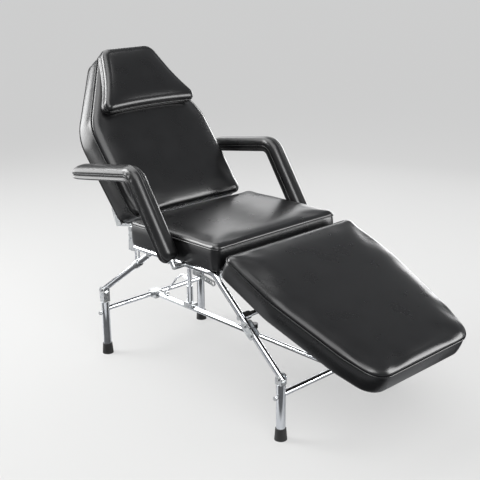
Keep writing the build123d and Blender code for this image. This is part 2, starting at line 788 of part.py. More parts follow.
def make_back():
    parts = {}
    plane = back_plane()
    board_low = back_face - back_foam - board_thickness
    foam_low = back_face - back_foam
    pad = cushion(back_corners(), back_radii(), foam_low, back_foam, edge_round, crown_run, crown_height,
                  back_rear_corners())
    parts["back_cushion"] = placed(pad, plane)
    board = extrude(rounded_outline(back_corners(), back_radii(), board_margin), amount=board_thickness)
    parts["back_board"] = placed(board.moved(Location((0, 0, board_low))), plane)
    inner = back_start - overrun
    points = [(leaf_boss_radius * 0.85, leaf_boss_radius * 0.5), (inner - leaf_gap, board_low * 0.55),
              (inner, board_low), (back_start + flange_width * 2.4, board_low),
              (back_start + flange_width * 2.4, board_low - leaf_boss_radius),
              (back_start + flange_width / 3, board_low - 2 * leaf_boss_radius),
              (leaf_boss_radius, -leaf_boss_radius * 0.85)]
    leaves = []
    screws = []
    for name, side in SIDES:
        low, high = span_x(side, moving_leaf_inner_x, moving_leaf_inner_x + leaf_thickness)
        leaf = leaf_local(plane, points, leaf_boss_radius, low, high) + ratchet_disc(low, high)
        f_low, f_high = span_x(side, moving_leaf_inner_x + leaf_thickness - flange_width,
                               moving_leaf_inner_x + leaf_thickness)
        v_low, v_high = back_start + overrun * 5, back_start + flange_width * 2.2
        flange = box_between((f_low, v_low, board_low - plate_thickness), (f_high, v_high, board_low))
        leaf += placed(flange, plane)
        leaf -= rod_x(low - overrun, high + overrun, back_pivot_y, back_pivot_height, pivot_radius + running_clearance)
        for v in (v_low + flange_width / 3, v_high - flange_width / 3):
            sx = side * (moving_leaf_inner_x - flange_width / 3)
            screw = tube((sx, v, board_low + screw_depth), (sx, v, board_low - plate_thickness), screw_radius)
            screw += tube((sx, v, board_low - plate_thickness), (sx, v, board_low - plate_thickness - screw_head),
                          screw_head_radius)
            screws.append(placed(screw, plane))
        leaves.append(leaf)
    for screw in screws:
        parts["back_board"] -= screw
        leaves = [leaf - screw for leaf in leaves]
    parts["back_hinge_leaves"] = Compound(children=leaves)
    parts["back_screws"] = Compound(children=screws)
    return parts


def make_foot():
    parts = {}
    plane = foot_plane()
    foam_low = foot_pivot_drop - foot_foam
    board_low = foam_low - board_thickness
    pad = cushion(foot_corners(), foot_radii(), foam_low, foot_foam, edge_round, crown_run, crown_height)
    parts["foot_cushion"] = placed(pad, plane)
    board = extrude(rounded_outline(foot_corners(), foot_radii(), board_margin), amount=board_thickness)
    parts["foot_board"] = placed(board.moved(Location((0, 0, board_low))), plane)
    far = foot_start + flange_width * 2.6
    points = [(-foot_boss_radius * 0.3, foot_boss_radius * 0.9), (foot_start, board_low), (far, board_low),
              (far, board_low - foot_boss_radius * 0.8), (far - flange_width, -foot_boss_radius * 0.6),
              (0, -foot_boss_radius)]
    leaves = []
    screws = []
    for name, side in SIDES:
        low, high = span_x(side, moving_leaf_inner_x, moving_leaf_inner_x + leaf_thickness)
        leaf = leaf_local(plane, points, foot_boss_radius, low, high)
        f_low, f_high = span_x(side, moving_leaf_inner_x + leaf_thickness - flange_width,
                               moving_leaf_inner_x + leaf_thickness)
        v_low, v_high = foot_start + foot_boss_radius, far - overrun
        flange = box_between((f_low, v_low, board_low - plate_thickness), (f_high, v_high, board_low))
        leaf += placed(flange, plane)
        leaf -= rod_x(low - overrun, high + overrun, foot_pivot_y, foot_pivot_z, pivot_radius + running_clearance)
        for v in (v_low + flange_width / 3, v_high - flange_width / 3):
            sx = side * (moving_leaf_inner_x - flange_width / 3)
            screw = tube((sx, v, board_low + screw_depth), (sx, v, board_low - plate_thickness), screw_radius)
            screw += tube((sx, v, board_low - plate_thickness), (sx, v, board_low - plate_thickness - screw_head),
                          screw_head_radius)
            screws.append(placed(screw, plane))
        leaves.append(leaf)
    for screw in screws:
        parts["foot_board"] -= screw
        leaves = [leaf - screw for leaf in leaves]
    parts["foot_hinge_leaves"] = Compound(children=leaves)
    parts["foot_screws"] = Compound(children=screws)
    return parts


def make_fixed_leaves():
    """Leaves that stand on the seat frame, the pivot bolts, and the ratchet pawls."""
    parts = {}
    frame_leaves = []
    bolts = []
    bottom = rear_tube_z - rear_tube_radius
    pawl_z = back_pivot_height - pawl_below_pivot
    for name, side in SIDES:
        low, high = span_x(side, fixed_leaf_inner_x, fixed_leaf_inner_x + leaf_thickness)
        front = rear_bracket_y + leaf_boss_radius
        points = [(front, rail_z - tube_radius / 2), (front, board_bottom), (seat_rear + overrun, board_bottom),
                  (back_pivot_y - leaf_boss_radius, back_pivot_height),
                  (back_pivot_y + leaf_boss_radius, back_pivot_height),
                  (back_pivot_y + leaf_boss_radius + leaf_thickness, bottom), (rear_tube_y - leaf_boss_radius, bottom)]
        leaf = plate_in_side_view(points, low, high)
        leaf += rod_x(low, high, back_pivot_y, back_pivot_height, leaf_boss_radius)
        leaf = bolt_holes(leaf, [(back_pivot_y, back_pivot_height)], low, high, pivot_radius)
        pin_in = side * moving_leaf_inner_x
        leaf += rod_x(*sorted((pin_in, side * fixed_leaf_inner_x)), back_pivot_y, pawl_z, pawl_hole_radius)
        frame_leaves.append(leaf)
        points = [(seat_front + 5 * leaf_boss_radius, rail_z - tube_radius / 2),
                  (seat_front + 5 * leaf_boss_radius, board_bottom), (seat_front + leaf_boss_radius, board_bottom),
                  (foot_pivot_y, foot_pivot_z + foot_boss_radius * 0.7),
                  (foot_pivot_y, foot_pivot_z - foot_boss_radius), (seat_front + leaf_boss_radius, rail_z
                                                                    - tube_radius)]
        leaf = plate_in_side_view(points, low, high)
        leaf += rod_x(low, high, foot_pivot_y, foot_pivot_z, foot_boss_radius)
        frame_leaves.append(bolt_holes(leaf, [(foot_pivot_y, foot_pivot_z)], low, high, pivot_radius))
        for y, z in ((back_pivot_y, back_pivot_height), (foot_pivot_y, foot_pivot_z)):
            outer = fixed_leaf_inner_x + leaf_thickness
            inner = moving_leaf_inner_x - soft_clearance
            bolt = rod_x(side * (inner - nut_height), side * (outer + pivot_head), y, z, pivot_radius)
            bolt += rod_x(side * outer, side * (outer + pivot_head), y, z, pivot_head_radius)
            bolt += rod_x(side * (inner - nut_height), side * inner, y, z, pivot_head_radius)
            bolts.append(bolt)
        low, high = span_x(side, moving_leaf_inner_x, moving_leaf_inner_x + leaf_thickness)
        tip = back_pivot_height - ratchet_radius - pawl_clearance
        pawl = plate_in_side_view([(back_pivot_y - pawl_width / 2, pawl_z), (back_pivot_y + pawl_width / 2, pawl_z),
                                   (back_pivot_y + pawl_width / 2, tip - pawl_width / 2),
                                   (back_pivot_y - pawl_width / 2, tip)], low, high)
        pawl += rod_x(low, high, back_pivot_y, pawl_z, pawl_width / 2)
        pawl = bolt_holes(pawl, [(back_pivot_y, pawl_z)], low, high, pawl_hole_radius + running_clearance)
        parts[f"back_pawl_{name}"] = pawl
    parts["frame_hinge_leaves"] = Compound(children=frame_leaves)
    parts["hinge_pivot_bolts"] = Compound(children=bolts)
    return parts


def make_headrest():
    """Pillow on the face of the backrest, hung on a flat strap over the backrest's top edge."""
    parts = {}
    plane = back_plane()
    low = back_face - back_foam - board_thickness - soft_clearance - strap_thickness / 2
    high = back_face + crown_height + soft_clearance + strap_thickness / 2
    top = back_start + back_length + soft_clearance + strap_thickness / 2
    path = FilletPolyline((0, top - strap_front_reach, high), (0, top, high), (0, top, low),
                          (0, top - strap_rear_reach, low), radius=strap_bend_radius)
    start = Plane(origin=(0, top - strap_front_reach, high), x_dir=(1, 0, 0), z_dir=(0, 1, 0))
    parts["headrest_strap"] = placed(sweep(start * Rectangle(strap_width, strap_thickness), path=path), plane)
    radii = [pillow_bottom_radius, pillow_top_radius, pillow_top_radius, pillow_bottom_radius]
    thickness = pillow_thickness - crown_height
    pad = cushion(pillow_corners(), radii, high + strap_thickness / 2, thickness, pillow_edge_round,
                  crown_run * pillow_run_share, crown_height)
    parts["headrest_pillow"] = placed(pad, plane)
    return parts


def arm_points():
    """Side view of the armrest's centre line: foot, knee and free end as (y, z)."""
    a = radians(arm_angle)
    knee_y = arm_foot_y + (arm_knee_z - arm_foot_z) / tan(a)
    fall = radians(arm_rest_fall)
    end = (knee_y + arm_rest_length * cos(fall), arm_knee_z - arm_rest_length * sin(fall))
    return (arm_foot_y, arm_foot_z), (knee_y, arm_knee_z), end


def make_arms():
    parts = {}
    foot, knee, end = arm_points()
    a = radians(arm_angle)
    ua, ub = cos(a), sin(a)
    posts = []
    for name, side in SIDES:
        x = side * arm_middle_x
        path = FilletPolyline((x, *foot), (x, *knee), (x, *end), radius=arm_bend_radius)
        start = Plane(origin=(x, *foot), x_dir=(1, 0, 0), z_dir=(0, ua, ub))
        pad = sweep(start * RectangleRounded(arm_width, arm_depth, arm_section_radius), path=path)
        top = hypot(knee[0] - foot[0], knee[1] - foot[1])
        core = tube((x, *foot), (x, foot[0] + ua * top, foot[1] + ub * top), arm_core_radius)
        rest_plane = Plane(origin=(x, *knee), x_dir=(1, 0, 0),
                           z_dir=(0, sin(radians(arm_rest_fall)), cos(radians(arm_rest_fall))))
        plate_reach = arm_rest_length - arm_plate_margin
        rest = box_between((-arm_plate_width / 2, 0, -arm_plate_thickness / 2), (arm_plate_width / 2, plate_reach,
                           arm_plate_thickness / 2))
        core += placed(rest, rest_plane)
        pad -= core
        bore = arm_post_radius + running_clearance
        core -= tube((x, foot[0] - ua * overrun, foot[1] - ub * overrun),
                     (x, foot[0] + ua * arm_core_bore_depth, foot[1] + ub * arm_core_bore_depth), bore)
        parts[f"arm_pad_{name}"] = max(pad.solids(), key=lambda s: s.volume)
        parts[f"arm_core_{name}"] = core
        down = (foot[1] - rail_z) / ub
        elbow = (x, foot[0] - ua * down, rail_z)
        post = tube(elbow, (x, foot[0] + ua * arm_post_reach, foot[1] + ub * arm_post_reach), arm_post_radius)
        post += Pos(*elbow) * Sphere(arm_post_radius)
        post += rod_x(side * rail_x, x, elbow[1], rail_z, arm_post_radius)
        post -= tube((side * rail_x, rail_rear_end, rail_z), (side * rail_x, rail_bend_y, rail_z), tube_radius)
        low = soft_clearance + arm_collar_height
        post += tube((x, foot[0] - ua * low, foot[1] - ub * low),
                     (x, foot[0] - ua * soft_clearance, foot[1] - ub * soft_clearance), arm_collar_radius)
        post = max(post.solids(), key=lambda s: s.volume)
        posts.append(post)
    parts["arm_posts"] = Compound(children=posts)
    return parts


def make_adjusting_bar():
    """Perforated bar with a ring at its front end, hung from the seat board by a strap."""
    fall = radians(bar_fall)
    plane = Plane(origin=(bar_x, bar_rear_y, bar_rear_z), x_dir=(0, -cos(fall), -sin(fall)), z_dir=(1, 0, 0))
    outline = Pos(bar_length / 2, 0) * Rectangle(bar_length, bar_width)
    outline += Pos(bar_length + bar_ring_radius * 0.6, 0) * Circle(bar_ring_radius)
    step = bar_length / bar_holes
    for i in range(bar_holes):
        outline -= Pos((i + 0.5) * step, 0) * Circle(bar_hole_radius)
    outline -= Pos(bar_length + bar_ring_radius * 0.6, 0) * Circle(bar_ring_radius * 0.6)
    bar = extrude(plane * outline, amount=bar_thickness)
    hanger = box_between((bar_x, bar_rear_y - bar_width / 2, bar_rear_z - bar_width / 2),
                         (bar_x + bar_thickness, bar_rear_y + bar_width / 2, board_bottom - plate_thickness))
    hanger += box_between((bar_x - bar_width, bar_rear_y - bar_width / 2, board_bottom - plate_thickness),
                          (bar_x + bar_thickness, bar_rear_y + bar_width / 2, board_bottom))
    return {"adjusting_bar": bar + hanger}


def make_frame_bolts():
    bolts = []
    outer = ear_gap / 2 + plate_thickness
    for name, side in SIDES:
        for y, z in joint_bolt_centres():
            reach = tube_radius + plate_thickness
            bolts.append(hex_bolt(side * rail_x - reach, side * rail_x + reach, y, z, side))
        bolts.append(hex_bolt(side * rail_x - outer, side * rail_x + outer, front_leg_y, front_head_z, side))
        bolts.append(hex_bolt(side * rear_leg_x - outer, side * rear_leg_x + outer, rear_leg_y, rear_head_z, side))
        (y0, z0), end = rear_brace_ends()
        bolts.append(hex_bolt(side * rear_leg_x - outer, side * rear_leg_x + outer, y0, z0, side))
    return {"frame_bolts": Compound(children=bolts)}


def make_spreader_bolts():
    y, z = spreader_centre()
    bolts = []
    for name, side in SIDES:
        face = side * (rail_x + tube_radius)
        bolt = rod_x(side * (rail_x - tube_radius - collar_length), face, y, z, bolt_radius)
        bolt += rod_x(face, face + side * bolt_head, y, z, bolt_head_radius)
        bolts.append(bolt)
    return bolts


def all_parts():
    parts = {}
    for make in (make_seat, make_side_rails, make_front_braces, make_rear_braces, make_legs, make_low_frame,
                 make_post, make_hook, make_back, make_foot, make_fixed_leaves, make_headrest, make_arms,
                 make_adjusting_bar, make_frame_bolts):
        parts.update(make())
    parts["frame_bolts"] = Compound(children=parts["frame_bolts"].solids() + make_spreader_bolts())
    return parts


os.makedirs("parts", exist_ok=True)
PARTS = all_parts()
for node, shape in PARTS.items():
    centred = shape.moved(Location((0, origin_shift, 0)))
    solids = centred.solids()
    if len(solids) == 1:
        export_step(solids[0], f"parts/{node}.step")
    else:
        export_step(Compound(children=list(solids)), f"parts/{node}.step")
low = min(shape.bounding_box().min.Y for shape in PARTS.values()) + origin_shift
high = max(shape.bounding_box().max.Y for shape in PARTS.values()) + origin_shift
print("nodes", len(PARTS), "y range", round(low, 2), round(high, 2))
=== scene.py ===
# %% [markdown]
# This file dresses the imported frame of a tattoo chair: three upholstered sections and two
# armrests on a chrome tube frame. The steel comes from the frame as it is and only gets its
# finish. Everything soft is made here, in the space that its plain solid holds.

# %% Open the frame
import math

import bpy
import numpy as np
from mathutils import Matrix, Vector


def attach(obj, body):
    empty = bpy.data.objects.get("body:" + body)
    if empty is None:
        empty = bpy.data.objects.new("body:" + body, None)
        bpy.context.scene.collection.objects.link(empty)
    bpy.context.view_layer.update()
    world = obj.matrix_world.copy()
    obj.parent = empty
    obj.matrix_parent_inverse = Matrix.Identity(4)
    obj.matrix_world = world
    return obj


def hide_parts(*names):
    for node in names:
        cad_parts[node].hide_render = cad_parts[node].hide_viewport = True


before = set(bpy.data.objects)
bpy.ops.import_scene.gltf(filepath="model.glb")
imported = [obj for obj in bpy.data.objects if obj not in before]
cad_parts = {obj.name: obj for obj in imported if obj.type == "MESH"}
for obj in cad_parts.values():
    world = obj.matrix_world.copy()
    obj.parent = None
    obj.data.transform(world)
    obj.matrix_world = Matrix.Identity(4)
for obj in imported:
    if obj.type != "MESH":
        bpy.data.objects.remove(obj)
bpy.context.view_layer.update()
MM = 0.001  # every shape below is worked out in millimetres
print("pieces from the frame:", len(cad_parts))

# %% [markdown]
# Colours are written as they look on a screen, and the shader wants linear light. So one
# function turns a hex value into linear numbers, and no colour is worked out by hand.

# %% Colour helper
def linear(hex_code):
    """sRGB hex to linear RGBA: below 0.04045 divide by 12.92, above it the 2.4 power curve."""
    channels = np.array([int(hex_code[i:i + 2], 16) for i in (1, 3, 5)]) / 255.0
    low = channels / 12.92
    high = ((channels + 0.055) / 1.055) ** 2.4
    return (*np.where(channels <= 0.04045, low, high).tolist(), 1.0)


print("middle grey in linear light:", round(linear("#808080")[0], 3))

# %% [markdown]
# A finish is a small network of shader nodes. One function adds a node with its settings and
# links in one line, which keeps each recipe short enough to read.

# %% Node helpers
def add(tree, kind, settings=None, inputs=None, links=None):
    """Add one node: settings are its own fields, inputs its socket values, links its sources."""
    node = tree.nodes.new(kind)
    for key, value in (settings or {}).items():
        setattr(node, key, value)
    for key, value in (inputs or {}).items():
        node.inputs[key].default_value = value
    for key, socket in (links or {}).items():
        tree.links.new(socket, node.inputs[key])
    return node


def new_finish(name, **shader):
    """An empty finish with its surface shader; returns the material, its tree and the shader."""
    material = bpy.data.materials.new(name)
    material.use_nodes = True
    tree = material.node_tree
    surface = tree.nodes["Principled BSDF"]
    for key, value in shader.items():
        surface.inputs[key.replace("_", " ")].default_value = value
    return material, tree, surface


def ramp(tree, source, stops):
    """Colour ramp through (position, colour) stops, read from a 0 to 1 source."""
    node = add(tree, "ShaderNodeValToRGB", links={"Fac": source})
    while len(node.color_ramp.elements) < len(stops):
        node.color_ramp.elements.new(0.5)
    for element, (position, colour) in zip(node.color_ramp.elements, stops):
        element.position = position
        element.color = colour
    return node.outputs["Color"]


print("materials before the first finish:", len(bpy.data.materials))

# %% [markdown]
# The cover is black upholstery vinyl: a PVC skin, embossed with a fine leather grain and
# finished glossy. The eye sees broad soft highlights that break up slightly at close range.
# The pebbles are about 1.2 mm apart on the real sheet, and are drawn at 1.6 mm so that they
# survive in the picture. Use polishes the vinyl in patches, so its roughness wanders a little.
# The piping is the same sheet, pulled tight round a cord, so it is smoother and finer.

# %% Upholstery vinyl
def embossed_vinyl(name, base, sheen_low, sheen_high, pebble_mm=1.6, depth_mm=0.02):
    """Grain height = distance to the nearest pebble's middle + a share of fine pore noise;
    roughness and colour = slow noise, between the two ends given."""
    pore_mm, pore_share, patches_per_m = 0.7, 0.35, 14.0
    material, tree, shader = new_finish(name, IOR=1.5, Specular_IOR_Level=0.5, Coat_Weight=0.12,
                                        Coat_Roughness=0.2)
    place = add(tree, "ShaderNodeTexCoord").outputs["Object"]
    cells = add(tree, "ShaderNodeTexVoronoi", {"feature": "F1"}, {"Scale": 1 / (pebble_mm * MM)},
                {"Vector": place})
    pores = add(tree, "ShaderNodeTexNoise", inputs={"Scale": 1 / (pore_mm * MM), "Detail": 2.0},
                links={"Vector": place})
    height = add(tree, "ShaderNodeMath", {"operation": "MULTIPLY_ADD"}, {1: pore_share},
                 {0: pores.outputs["Fac"], 2: cells.outputs["Distance"]})
    slow = add(tree, "ShaderNodeTexNoise", inputs={"Scale": patches_per_m, "Detail": 4.0},
               links={"Vector": place})
    bump = add(tree, "ShaderNodeBump", inputs={"Strength": 0.3, "Distance": depth_mm * MM},
               links={"Height": height.outputs["Value"]})
    tree.links.new(bump.outputs["Normal"], shader.inputs["Normal"])
    rough = add(tree, "ShaderNodeMapRange", inputs={"To Min": sheen_low, "To Max": sheen_high},
                links={"Value": slow.outputs["Fac"]})
    tree.links.new(rough.outputs["Result"], shader.inputs["Roughness"])
    dark, light = linear(base[0]), linear(base[1])
    tree.links.new(ramp(tree, slow.outputs["Fac"], [(0.3, dark), (0.7, light)]),
                   shader.inputs["Base Color"])
    return material


VINYL = embossed_vinyl("embossed_black_vinyl", ("#09090a", "#0e0e0f"), 0.24, 0.33)
PIPING = embossed_vinyl("piping_vinyl", ("#0b0b0c", "#121213"), 0.16, 0.24, pebble_mm=1.2)
print("vinyl finishes:", VINYL.name, PIPING.name)

# %% [markdown]
# The tubes are mild steel with nickel and bright chrome plating: a mirror with a cool tint and
# the faintest polishing haze. The pressed plates are bright zinc, which is duller and has a
# cloudy, slightly blue-yellow surface. Both are metals, so the colour sits in the reflection.

# %% Plated steel
def plated_steel(name, tint, rough_low, rough_high, cloud_mm, bump_mm):
    """Roughness and tint drift between their two ends with cloud noise of the given size, and
    the bump is the same noise as a soft ripple."""
    material, tree, shader = new_finish(name, Metallic=1.0)
    place = add(tree, "ShaderNodeTexCoord").outputs["Object"]
    cloud = add(tree, "ShaderNodeTexNoise", inputs={"Scale": 1 / (cloud_mm * MM), "Detail": 5.0},
                links={"Vector": place})
    rough = add(tree, "ShaderNodeMapRange", inputs={"To Min": rough_low, "To Max": rough_high},
                links={"Value": cloud.outputs["Fac"]})
    tree.links.new(rough.outputs["Result"], shader.inputs["Roughness"])
    stops = [(0.35, linear(tint[0])), (0.65, linear(tint[1]))]
    tree.links.new(ramp(tree, cloud.outputs["Fac"], stops), shader.inputs["Base Color"])
    bump = add(tree, "ShaderNodeBump", inputs={"Strength": 0.3, "Distance": bump_mm * MM},
               links={"Height": cloud.outputs["Fac"]})
    tree.links.new(bump.outputs["Normal"], shader.inputs["Normal"])
    return material


CHROME = plated_steel("bright_chrome_plate", ("#d8dadd", "#e2e4e6"), 0.05, 0.13, 25, 0.01)
ZINC = plated_steel("bright_zinc_plate", ("#b9bcbf", "#cfd0ce"), 0.22, 0.36, 9, 0.02)
FASTENER = plated_steel("zinc_fastener", ("#a9abad", "#c0c1c0"), 0.24, 0.4, 4, 0.02)
print("plated finishes:", CHROME.name, ZINC.name, FASTENER.name)

# %% [markdown]
# Two finishes come from a mould. The feet are carbon black rubber, matt and a little dusty.
# The knob is glossy ABS. The mould's own texture drives colour, roughness and bump alike, so
# one recipe with two sets of numbers serves both.

# %% Moulded rubber and plastic
def moulded(name, colours, rough_low, rough_high, grain_mm, bump_mm):
    """Moulded surface: colour and roughness follow one noise of the mould's texture size."""
    material, tree, shader = new_finish(name, IOR=1.5)
    place = add(tree, "ShaderNodeTexCoord").outputs["Object"]
    grain = add(tree, "ShaderNodeTexNoise", inputs={"Scale": 1 / (grain_mm * MM), "Detail": 6.0},
                links={"Vector": place})
    stops = [(0.3, linear(colours[0])), (0.7, linear(colours[1]))]
    tree.links.new(ramp(tree, grain.outputs["Fac"], stops), shader.inputs["Base Color"])
    rough = add(tree, "ShaderNodeMapRange", inputs={"To Min": rough_low, "To Max": rough_high},
                links={"Value": grain.outputs["Fac"]})
    tree.links.new(rough.outputs["Result"], shader.inputs["Roughness"])
    bump = add(tree, "ShaderNodeBump", inputs={"Strength": 0.4, "Distance": bump_mm * MM},
               links={"Height": grain.outputs["Fac"]})
    tree.links.new(bump.outputs["Normal"], shader.inputs["Normal"])
    return material


RUBBER = moulded("moulded_black_rubber", ("#141414", "#1f1f1f"), 0.6, 0.8, 3, 0.06)
KNOB = moulded("glossy_black_plastic", ("#0c0c0d", "#111112"), 0.18, 0.28, 6, 0.01)
print("moulded finishes:", RUBBER.name, KNOB.name)

# %% [markdown]
# The boards under the pads are plywood with a black stain that lets a little of the grain
# through. Wood fibres are long and thin, so the grain is a noise that is stretched along them.

# %% Stained plywood
def stained_plywood(name):
    """Grain = noise stretched 18 to 1 along the width; stain darkens where the grain is open."""
    fibres_per_m = (12.0, 220.0, 220.0)
    material, tree, shader = new_finish(name, IOR=1.48)
    place = add(tree, "ShaderNodeTexCoord").outputs["Object"]
    along = add(tree, "ShaderNodeMapping", inputs={"Scale": fibres_per_m},
                links={"Vector": place})
    grain = add(tree, "ShaderNodeTexNoise", inputs={"Scale": 1.0, "Detail": 8.0, "Roughness": 0.6},
                links={"Vector": along.outputs["Vector"]})
    stops = [(0.32, linear("#171412")), (0.68, linear("#2b2521"))]
    tree.links.new(ramp(tree, grain.outputs["Fac"], stops), shader.inputs["Base Color"])
    rough = add(tree, "ShaderNodeMapRange", inputs={"To Min": 0.5, "To Max": 0.7},
                links={"Value": grain.outputs["Fac"]})
    tree.links.new(rough.outputs["Result"], shader.inputs["Roughness"])
    bump = add(tree, "ShaderNodeBump", inputs={"Strength": 0.35, "Distance": 0.12 * MM},
               links={"Height": grain.outputs["Fac"]})
    tree.links.new(bump.outputs["Normal"], shader.inputs["Normal"])
    return material


PLYWOOD = stained_plywood("black_stained_plywood")
print("wood finish:", PLYWOOD.name)

# %% [markdown]
# The headrest's strap is woven elastic webbing, which is matt, with a soft sheen at its edges.
# Its ribs have to follow the strap round its bends, so this finish reads the strap's own UV
# map, in metres along and across the band.

# %% Woven elastic
WAVE_PERIOD = 0.314  # a wave texture of scale 1 repeats every 0.314


def woven_elastic(name, rib_mm=1.5, pick_mm=3.0):
    """Ribs across the strap times picks along it, both from sine bands on its UVs. The scale
    of a band is the wave's own period over the spacing. The colour follows the weave's height:
    painted shade in the hollows between ribs and picks, lighter on the raised ribs."""
    material, tree, shader = new_finish(name, IOR=1.48, Roughness=0.75, Sheen_Weight=0.3,
                                        Sheen_Roughness=0.5)
    uv = add(tree, "ShaderNodeUVMap", {"uv_map": "cloth"}).outputs["UV"]
    ribs, picks = (add(tree, "ShaderNodeTexWave", {"bands_direction": way},
                       {"Scale": WAVE_PERIOD / (spacing * MM)}, {"Vector": uv})
                   for way, spacing in (("Y", rib_mm), ("X", pick_mm)))
    weave = add(tree, "ShaderNodeMath", {"operation": "MULTIPLY"}, {},
                {0: ribs.outputs["Fac"], 1: picks.outputs["Fac"]})
    # painted shade: the weave's colour darkens with its height, so its hollows are dark and its
    # ribs light
    stops = [(0.0, linear("#0b0b0c")), (1.0, linear("#1e1e20"))]
    tree.links.new(ramp(tree, weave.outputs["Value"], stops), shader.inputs["Base Color"])
    bump = add(tree, "ShaderNodeBump", inputs={"Strength": 0.6, "Distance": 0.2 * MM},
               links={"Height": weave.outputs["Value"]})
    tree.links.new(bump.outputs["Normal"], shader.inputs["Normal"])
    return material


WEBBING = woven_elastic("woven_black_elastic")
print("webbing finish:", WEBBING.name)

# %% [markdown]
# The steel and the boards keep their own shape. Each of them only has its finish put on, by
# writing the material into its slots. Names decide which finish a node gets.

# %% Finish every solid that stays
def finish_for(node):
    """The finish that a solid's name stands for; tubes and rods are chrome."""
    plates = ("plate", "bracket", "leg_heads", "leaves", "adjusting", "arm_posts", "arm_core",
              "hook_lug", "seat_cross_bars", "clamps", "saddle", "pawl")
    if any(word in node for word in ("cushion", "pillow", "arm_pad")):
        return VINYL
    if "board" in node:
        return PLYWOOD
    if "rubber" in node:
        return RUBBER
    if "knob" in node:
        return KNOB
    if any(word in node for word in ("bolts", "screw")):
        return FASTENER
    if any(word in node for word in plates):
        return ZINC
    return CHROME


for node_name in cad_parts:
    part = bpy.data.objects[node_name]
    for slot in part.material_slots:
        slot.material = finish_for(node_name)
print("finished solids:", len(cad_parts))

# %% [markdown]
# Every pad starts from its outline, seen square to its face. The real covers are sewn from a
# face panel, a border and a turned-in hem under the board, so the outline is needed at many
# heights. One function gives it for any inset, in millimetres, and always lists the same
# number of points, so that the loops can be joined row by row.

# %% Outline of a pad
ARC_STEPS, SIDE_STEPS = 16, 60


def mirror_x(half):
    """Corners of the whole outline, counter-clockwise, from those of its +X half, lowest first."""
    return [tuple(c) for c in half] + [(-x, y) for x, y in reversed(half)]


def outline(corners, radii, inset=0.0, least=4.0):
    """Straight sides moved inwards by the inset, with an arc of the corner's radius less the
    inset at each corner, but never under the least radius. Arcs are 16 steps; each side adds
    60 steps between two arcs. Returns the dense line and the index of each arc's middle."""
    corner = np.array(corners, float)
    before = corner - np.roll(corner, 1, axis=0)
    before /= np.linalg.norm(before, axis=1, keepdims=True)
    after = np.roll(before, -1, axis=0)
    cross = before[:, 0] * after[:, 1] - before[:, 1] * after[:, 0]
    dot = np.sum(before * after, axis=1)
    inward = np.stack([-before[:, 1], before[:, 0]], axis=1)
    point = corner + inset * inward - before * (inset * (1 - dot) / cross)[:, None]
    radius = np.maximum(np.array(radii, float) - inset, least)
    turn = np.arctan2(cross, dot)
    start = point - before * (radius * np.tan(turn / 2))[:, None]
    centre = start + inward * radius[:, None]
    step = np.linspace(0, 1, ARC_STEPS + 1)[None, :] * turn[:, None]
    spoke = -inward
    arc = centre[:, None] + radius[:, None, None] * (
        np.cos(step)[..., None] * spoke[:, None] + np.sin(step)[..., None] * before[:, None])
    share = (np.arange(1, SIDE_STEPS) / SIDE_STEPS)[None, :, None]
    side = arc[:, -1:] * (1 - share) + np.roll(arc, -1, axis=0)[:, :1] * share
    line = np.concatenate([arc, side], axis=1).reshape(-1, 2)
    return line, np.arange(len(corner)) * (ARC_STEPS + SIDE_STEPS) + ARC_STEPS // 2


SQUARE = [(-50, -50), (50, -50), (50, 50), (-50, 50)]
print("outline points of a 100 mm square:", len(outline(SQUARE, [20] * 4)[0]))

# %% [markdown]
# A pad's face is filled with a grid of quads, which folds and swells evenly. The outline is
# first split at four corners, with as many steps on each side as on the side across from it.
# A Coons patch then fills it: each inner point is a blend of the four sides. A fan of
# triangles would be simpler, but its middle would pucker.

# %% Grid inside an outline
def four_sides(line, marks, across, along):
    """Even steps by arc length between four marked corners: along on the sides, across on the
    ends. The loop starts at the lower +X corner and runs counter-clockwise."""
    result = []
    loop = np.roll(line, -marks[0], axis=0)
    loop = np.vstack([loop, loop[:1]])
    ends = [m - marks[0] for m in marks] + [len(line)]
    for (a, b), count in zip(zip(ends[:-1], ends[1:]), (along, across, along, across)):
        part = loop[a:b + 1]
        length = np.concatenate([[0], np.cumsum(np.linalg.norm(np.diff(part, axis=0), axis=1))])
        at = np.linspace(0, length[-1], count + 1)[:-1]
        result.append(np.stack([np.interp(at, length, part[:, k]) for k in (0, 1)], axis=1))
    return np.vstack(result)


def patch(loop, across, along):
    """Coons patch: blend opposite sides of the loop linearly, less the blend of its corners."""
    right = loop[:along + 1]
    top = loop[along:along + across + 1][::-1]
    left = loop[along + across:2 * along + across + 1][::-1]
    bottom = np.vstack([loop[2 * along + across:], loop[:1]])
    u = np.linspace(0, 1, across + 1)[:, None, None]
    v = np.linspace(0, 1, along + 1)[None, :, None]
    ruled = (1 - v) * bottom[:, None] + v * top[:, None] + (1 - u) * left[None] + u * right[None]
    corners = ((1 - u) * (1 - v) * bottom[0] + u * (1 - v) * bottom[-1]
               + (1 - u) * v * top[0] + u * v * top[-1])
    return ruled - corners


rounded, middles = outline(SQUARE, [20] * 4)
print("grid inside the square:", patch(four_sides(rounded, middles, 6, 4), 6, 4).shape)

# %% [markdown]
# A surface is a table of points plus the faces between them. The next helper turns the arrays
# into a Blender mesh. Objects stay at the origin, and their place is in the points: the parts
# then ride with the chair's bodies, and a pattern in object coordinates stays still.

# %% Arrays to mesh
def piece(name, points_mm, faces, finish, body, replaced=()):
    """Smooth mesh from an array of points in millimetres and an array of faces; it rides on a
    body and replaces the named solids."""
    mesh = bpy.data.meshes.new(name)
    mesh.from_pydata((np.asarray(points_mm, float) * MM).tolist(), [], np.asarray(faces).tolist())
    mesh.materials.append(finish)
    mesh.polygons.foreach_set("use_smooth", np.full(len(mesh.polygons), True))
    mesh.update()
    obj = bpy.data.objects.new(name, mesh)
    bpy.context.scene.collection.objects.link(obj)
    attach(obj, body)
    if replaced:
        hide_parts(*replaced)
    return obj


